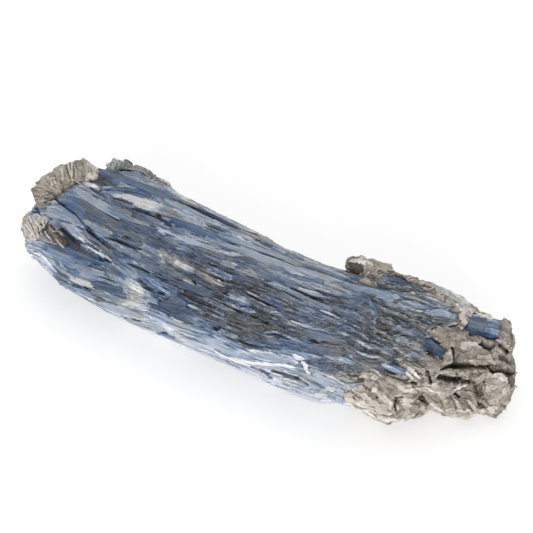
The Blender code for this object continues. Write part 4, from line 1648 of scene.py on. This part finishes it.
def bookRibs(rng):
    edges = [np.array(pixelRun(book[key])) for key in ("outer", "inner")]
    rows = []
    for k in range(book["ribs"]):
        mark = (k + rng.uniform(-book["slip"], book["slip"])) / (book["ribs"] - 1)
        ends = [placeOn(edge, min(max(mark, 0), 1) * (len(edge) - 1)) for edge in edges]
        ends = [[value + rng.gauss(0, book["stray"]) for value in end] for end in ends]
        middle = [(first + last) / 2 + rng.gauss(*book["bow"]) for first, last in zip(*ends)]
        points = [ends[0], middle, ends[1]]
        tone = rng.choice(("beige", "pale", "beige", "grey", "stone"))
        rows.append("%s %.1f %s" % (tone, rng.uniform(*book["wide"]), courseText(points)))
        if rng.random() < book["clefts"]:
            shifted = [(x + book["cleftShift"][0], y + book["cleftShift"][1]) for x, y in points]
            tone = rng.choice(("bark", "brown"))
            rows.append("%s %.1f %s" % (tone, rng.uniform(*book["cleftWide"]), courseText(shifted)))
    return "\n".join(rows)


# the fan's leaves spread from its lower corner to its upper edge, in four kinds that take turns
fan = {
    "edge": "24,236 23,226 25,219 33,217 42,218 49,220 46,228", "rays": 24, "bow": 0.8,
    "corner": (35, 243), "slide": (0.3, -0.4),                    # each ray starts a little further on
    "kinds": (("pale", 1.8), ("brown", 0.7), ("cream", 1.4), ("beige", 1.2)),
}


def fanRays():
    edge = np.array(pixelRun(fan["edge"]))
    rows = []
    for k in range(fan["rays"]):
        end = placeOn(edge, k / (fan["rays"] - 1) * (len(edge) - 1))
        start = [place + k * slide for place, slide in zip(fan["corner"], fan["slide"])]
        middle = ((start[0] + end[0]) / 2 + fan["bow"], (start[1] + end[1]) / 2)
        rows.append("%s %s %s" % (*fan["kinds"][k % 4], courseText((start, middle, end))))
    return "\n".join(rows)


leafCourses["mica_book_top_left"] = bookRibs(random.Random(book["seed"]))
# the black flakes in the pit under the tongue are painted shade in the hollow
leafCourses["mica_fan_left_end"] += fanRays() + """
bark 12 44,230 54,238 66,249
black 5 51,224 54,230 60,238 68,248
black 3 41,233 46,229 50,222
stone 3 49,226 53,233 57,240
brown 3 52,230 56,236 61,242
beige 4 41,236 48,241 55,246
pale 2.5 45,232 48,236 51,240
grey 3 56,240 60,244 65,249
"""


def leafStep(relief, line, wide, tilt, lift, tone, number):
    # one flake: a tilted step with a ragged outline, and streaks of its own along it
    picked, along, side, length = nearLine(relief["points"], relief["facings"], line, wide)
    wander = relief["wander"][picked]
    along, side = along + wander[:, 0] * 1.2 * mm, side + wander[:, 1] * min(wide * 0.35, 0.5 * mm)
    share = np.clip(along / length, 0, 1)
    narrowing = 1 - 0.6 * np.exp(-share / 0.15) - 0.6 * np.exp(-(1 - share) / 0.15)
    inside = (along > 0) & (along < length) & (np.abs(side) < wide / 2 * narrowing)
    at = picked[inside]
    relief["height"][at] = lift + tilt * side[inside] + 0.3 * relief["height"][at]
    relief["tone"][at] = tone
    own = np.full(len(at), number * 3.7)
    relief["grain"][at] = np.stack([along[inside] / mm, side[inside] / mm, own], 1)


looseLeaf = {
    "corners": 7, "ragged": (0.65, 1.2),
    "size": ((1.6, 4.2), (0.8, 2.0), (0.12, 0.25)),      # length, width and thickness, in millimetres
    "raised": (0.02, 0.26), "lean": 0.12, "stray": 0.3,  # in radians
}


def modelPlate():
    # a thin seven-sided plate, one unit wide and one thick
    bpy.ops.object.select_all(action="DESELECT")
    bpy.ops.mesh.primitive_circle_add(vertices=looseLeaf["corners"], radius=0.5, fill_type="NGON")
    plate = bpy.context.object
    plate.name = "loosePlate"
    bpy.ops.object.mode_set(mode="EDIT")
    bpy.ops.mesh.select_all(action="SELECT")
    bpy.ops.mesh.extrude_region_move(TRANSFORM_OT_translate={"value": (0, 0, 1)})
    bpy.ops.mesh.select_all(action="SELECT")
    bpy.ops.mesh.normals_make_consistent(inside=False)
    bpy.ops.object.mode_set(mode="OBJECT")
    return plate


plateStock = modelPlate()
platePoints = places(plateStock.data)
plateTurns = np.arctan2(platePoints[:, 1], platePoints[:, 0])
plateCorner = np.argsort(np.argsort(plateTurns), kind="stable") // 2          # each corner has two points


def layPlate(spot, up, way, size, tilt, look, rng):
    # lays a copy of the plate with one edge raised
    across = up.cross(way).normalized()
    lean = Quaternion(way, tilt) @ Quaternion(across, rng.gauss(0, looseLeaf["lean"]))
    jitter = np.array([rng.uniform(*looseLeaf["ragged"]) for _ in range(looseLeaf["corners"])])
    model = platePoints.copy()
    model[:, :2] *= jitter[plateCorner][:, None]
    axes = np.array([lean @ way, lean @ across, lean @ up])
    points = np.array(spot + up * size[1] * 0.25 * abs(math.sin(tilt))) + (model * size) @ axes
    points[:, 2] = np.maximum(points[:, 2], 0.05 * mm)
    mesh = plateStock.data.copy()
    setPlaces(mesh, points)
    setAttribute(mesh, "grain", np.c_[model[:, :2] * size[:2] / mm, np.full(len(model), rng.uniform(0, 90))])
    setAttribute(mesh, "toneShadeStain", np.full((len(model), 3), look))
    setAttribute(mesh, "wear", np.full((len(model), 3), (0.4, 0.0, 0.0)))
    plate = bpy.data.objects.new("plate", mesh)
    bpy.context.scene.collection.objects.link(plate)
    return plate


def nearestBlend(point, places, values, soft=1.5 * mm):
    # the values of what lies round a point, by nearness
    near = 1 / (np.sum((places - np.array(point)) ** 2, axis=1) + soft ** 2) ** 2
    return near @ values / near.sum()


def proudOfNeighbours(mesh, values, passes=4):
    # how far each point stands above the ones round it
    ends = np.empty(len(mesh.edges) * 2, np.int32)
    mesh.edges.foreach_get("vertices", ends)
    first, second = ends.reshape(-1, 2).T
    size = len(values)
    counts = np.maximum(np.bincount(ends, minlength=size), 1)
    soft = values
    for _ in range(passes):
        soft = (np.bincount(first, soft[second], size) + np.bincount(second, soft[first], size)) / counts
    return values - soft


# what sets the two stones apart, unless a piece says otherwise
stoneHabits = {
    "mica": {"rough": 1.0, "stray": 0.25, "crumbs": 0.16, "stain": 0.0, "plates": 0},
    "kyanite": {"rough": 0.4, "stray": 0.02, "crumbs": 0.06, "stain": 0.0, "plates": 0},
}
mound = {"wide": (2.9, 1.7), "parts": 3, "smaller": (0.6, 0.9), "stray": 0.25, "sunk": (0.35, 0.55)}
# a cleft's depth, how far its tone is pulled to a dark tone, and that tone, as painted shade
cleft = {"deep": 1.7 * mm, "hold": 0.9, "tone": 0.07}


def growMounds(node, recipe, rng):
    # the places and radii of a piece's mounds; a wide one is three that run into one another
    lumps = []
    for pixel, radii in leafLumps.get(node, ()):
        spot, up = castPixel(wholeTree, pixel)
        isWide = all(r > limit for r, limit in zip(radii, mound["wide"])) and not recipe.get("wholeMounds")
        for _ in range(mound["parts"] if isWide else 1):
            part = Vector(radii) * mm * (rng.uniform(*mound["smaller"]) if isWide else 1.0)
            stray = Vector([rng.gauss(0, mound["stray"]) * radius * mm for radius in radii]) * isWide
            lumps.append((spot - up * part.z * mound["sunk"][isWide] + stray, part))
    return lumps


def readCourses(node, tree):
    # name of the tone, width and line of each flake
    courses = []
    for row in leafCourses[node].strip().splitlines():
        name, wide, *course = row.split()
        line, _ = castLine(tree, pixelRun(" ".join(course)), 6)
        if np.linalg.norm(np.diff(line, axis=0), axis=1).min() > 0.02 * mm:
            courses.append((name, float(wide) * pixelSize(line[3]), line))
    return courses


def cutClefts(node, tree, relief):
    for row in leafGaps.get(node, "").strip().splitlines():
        wide, *course = row.split()
        line, _ = castLine(tree, pixelRun(" ".join(course)), 8)
        wide = float(wide) * pixelSize(line[4])
        picked, along, side, length = nearLine(relief["points"], relief["facings"], line, wide * 1.5)
        depth = np.clip(1 - np.abs(side) / wide, 0, 1) * (along > 0) * (along < length)
        relief["height"][picked] -= cleft["deep"] * depth
        # the cleft is painted dark towards its middle as painted shade
        relief["tone"][picked] = relief["tone"][picked] * (1 - cleft["hold"] * depth) + cleft["tone"] * depth


def shapeStone(node, recipe, seed):
    rng = random.Random(seed)
    isMica = recipe["stone"] == "mica"
    recipe = {**stoneHabits[recipe["stone"]], **recipe}
    lumps = growMounds(node, recipe, rng)
    piece, tree = groundOf(node, node + "_leaves", recipe["voxel"] * mm, 8, recipe["sink"] * mm, lumps)
    points, facings = places(piece.data), outward(piece.data)
    wander = np.array([[noise.noise(Vector(p) * 900), noise.noise(Vector(p) * 1100 + Vector((7, 3, 5)))]
                       for p in points])
    relief = {"points": points, "facings": facings, "wander": wander, "height": np.zeros(len(points)),
              "tone": np.full(len(points), recipe["tone"]), "grain": points / mm}
    bladeTones = {name: value for name, (value, _) in tones.items()}
    shades = {**bladeTones, **leafTones} if isMica else {**leafTones, **bladeTones}
    courses = readCourses(node, tree)
    middles = np.array([line[3] for _, _, line in courses])
    values = np.array([[shades[name]] for name, _, _ in courses])
    ways = unit(np.array([line[5] - line[1] for _, _, line in courses]))

    def wayAt(start, up, stray):
        way = Vector(unit(nearestBlend(start, middles, ways)))
        way += Vector([rng.gauss(0, stray) for _ in range(3)])
        return (way - up * way.dot(up)).normalized()

    def toneAt(start):
        return 0.4 * recipe["tone"] + 0.6 * nearestBlend(start, middles, values)[0]

    for k, start in enumerate(spreadPoints(piece.data, recipe["leaves"], seed)):
        near, up, _, _ = tree.find_nearest(start)
        way = wayAt(start, up, recipe["stray"])
        length, wide = rng.uniform(*recipe["long"]) * mm, rng.uniform(*recipe["wide"]) * mm
        line = np.array([near - way * length / 2, near, near + way * length / 2])
        tone = toneAt(start) + rng.gauss(0, recipe["spread"])
        tilt = recipe["tilt"] * rng.uniform(0.3, 1.4)
        leafStep(relief, line, wide, tilt, rng.uniform(-0.3, 0.3) * mm * recipe["rough"], tone, k)
    for k, (name, wide, line) in enumerate(courses):
        tilt = recipe["tilt"] * rng.uniform(0.2, 0.9)
        lift = (shades[name] - 0.45) * (0.1 + recipe["rough"]) * mm      # bright ones stand above dark ones
        leafStep(relief, line, wide * 1.1, tilt, lift, shades[name], 5000 + k)
    cutClefts(node, tree, relief)

    crumbs = np.array([noise.fractal(Vector(p) * 700, 0.7, 2.1, 3) for p in points])
    total = relief["height"] + crumbs * recipe["crumbs"] * mm
    out = points + facings * total[:, None]
    out[:, 2] = np.maximum(out[:, 2], 0.05 * mm)
    setPlaces(piece.data, out)
    # leaf edges that stand above those round them are painted lighter as painted highlight, and hollows
    # darker as painted shade
    edges, stain = proudOfNeighbours(piece.data, total / mm), np.full(len(points), recipe["stain"])
    setAttribute(piece.data, "grain", relief["grain"])
    setAttribute(piece.data, "toneShadeStain", np.stack([relief["tone"], edges, stain], 1))
    setAttribute(piece.data, "wear", np.full((len(points), 3), (0.5, 0.0, 0.0)))

    laid = []
    surface = BVHTree.FromPolygons([Vector(p) for p in out], [list(p.vertices) for p in piece.data.polygons])
    for start in spreadPoints(piece.data, recipe["plates"], seed + 1):
        spot, up, _, _ = surface.find_nearest(start)
        way = wayAt(start, up, looseLeaf["stray"])
        size = [rng.uniform(*bounds) * mm for bounds in looseLeaf["size"]]
        tone = toneAt(start) + rng.gauss(0.0, recipe["spread"] * 0.7)
        tilt = rng.choice((-1, 1)) * rng.uniform(*looseLeaf["raised"])
        laid.append(layPlate(spot, up, way, size, tilt, (tone, 0.0, recipe["stain"]), rng))
    piece = joinPieces(node + "Piece", [piece, *laid])
    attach(piece, "root")
    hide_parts(node)
    print(node, len(piece.data.polygons), "faces")
    return piece


stonePieces = {}
for number, (node, recipe) in enumerate(leafPieces.items()):
    stonePieces[node] = shapeStone(node, recipe, 100 + number)
print("mica shaped")


# Muscovite schist: leaves of pearly mica, split and crumbled, with brown iron stain in clouds and clefts
# painted dark as painted shade.
# The eye sees soft silvery leaf edges, partly painted highlight, over dull beige, and small glints.
mica = {
    "plain": [(0.0, "16130f"), (0.18, "3a342e"), (0.36, "6a6258"), (0.52, "948c83"), (0.68, "b4ada4"),
              (0.84, "d4cec7"), (1.0, "ece9e3")],
    "stained": [(0.0, "120f0b"), (0.2, "392f26"), (0.4, "65594c"), (0.6, "8f8375"), (0.8, "b7ab9c"),
                (1.0, "dbd1c4")],
    "patterns": {
        "leaves": ("grain", (0.5, 1.9, 1.0), 3.0, 0.22, 0.0, 0.8),
        "crumbs": ("spot", (1.1, 1.1, 1.1), 5.0, 0.22, 0.0, 0.6),
        "glints": ("spot", (3.2, 3.2, 3.2), 3.0, 0.24, 0.0, 0.5),
        "patches": ("spot", (0.22, 0.22, 0.22), 4.0, 0.34, 0.0, 0.0),
    },
    # relief: how strongly the painted highlight on leaf edges and the painted shade in hollows are added to
    # the tone
    "relief": 0.38,
    "stain": (0.20, (0.46, 0.66), 0.75),
    "powder": ("spot", (1.5, 1.5, 1.5), (0.64, 0.84), 0.5),
    "powderColours": [(0.3, "a39c93"), (0.7, "e2dfda")],
    "roughness": 0.46, "ior": 1.58,
}
bpy.data.objects.remove(plateStock)
materials = {"kyanite": kyaniteMaterial, "mica": stoneMaterial("muscoviteSchist", mica)}
for node, piece in stonePieces.items():
    piece.data.materials.append(materials[leafPieces[node]["stone"]])
print("mica finished")
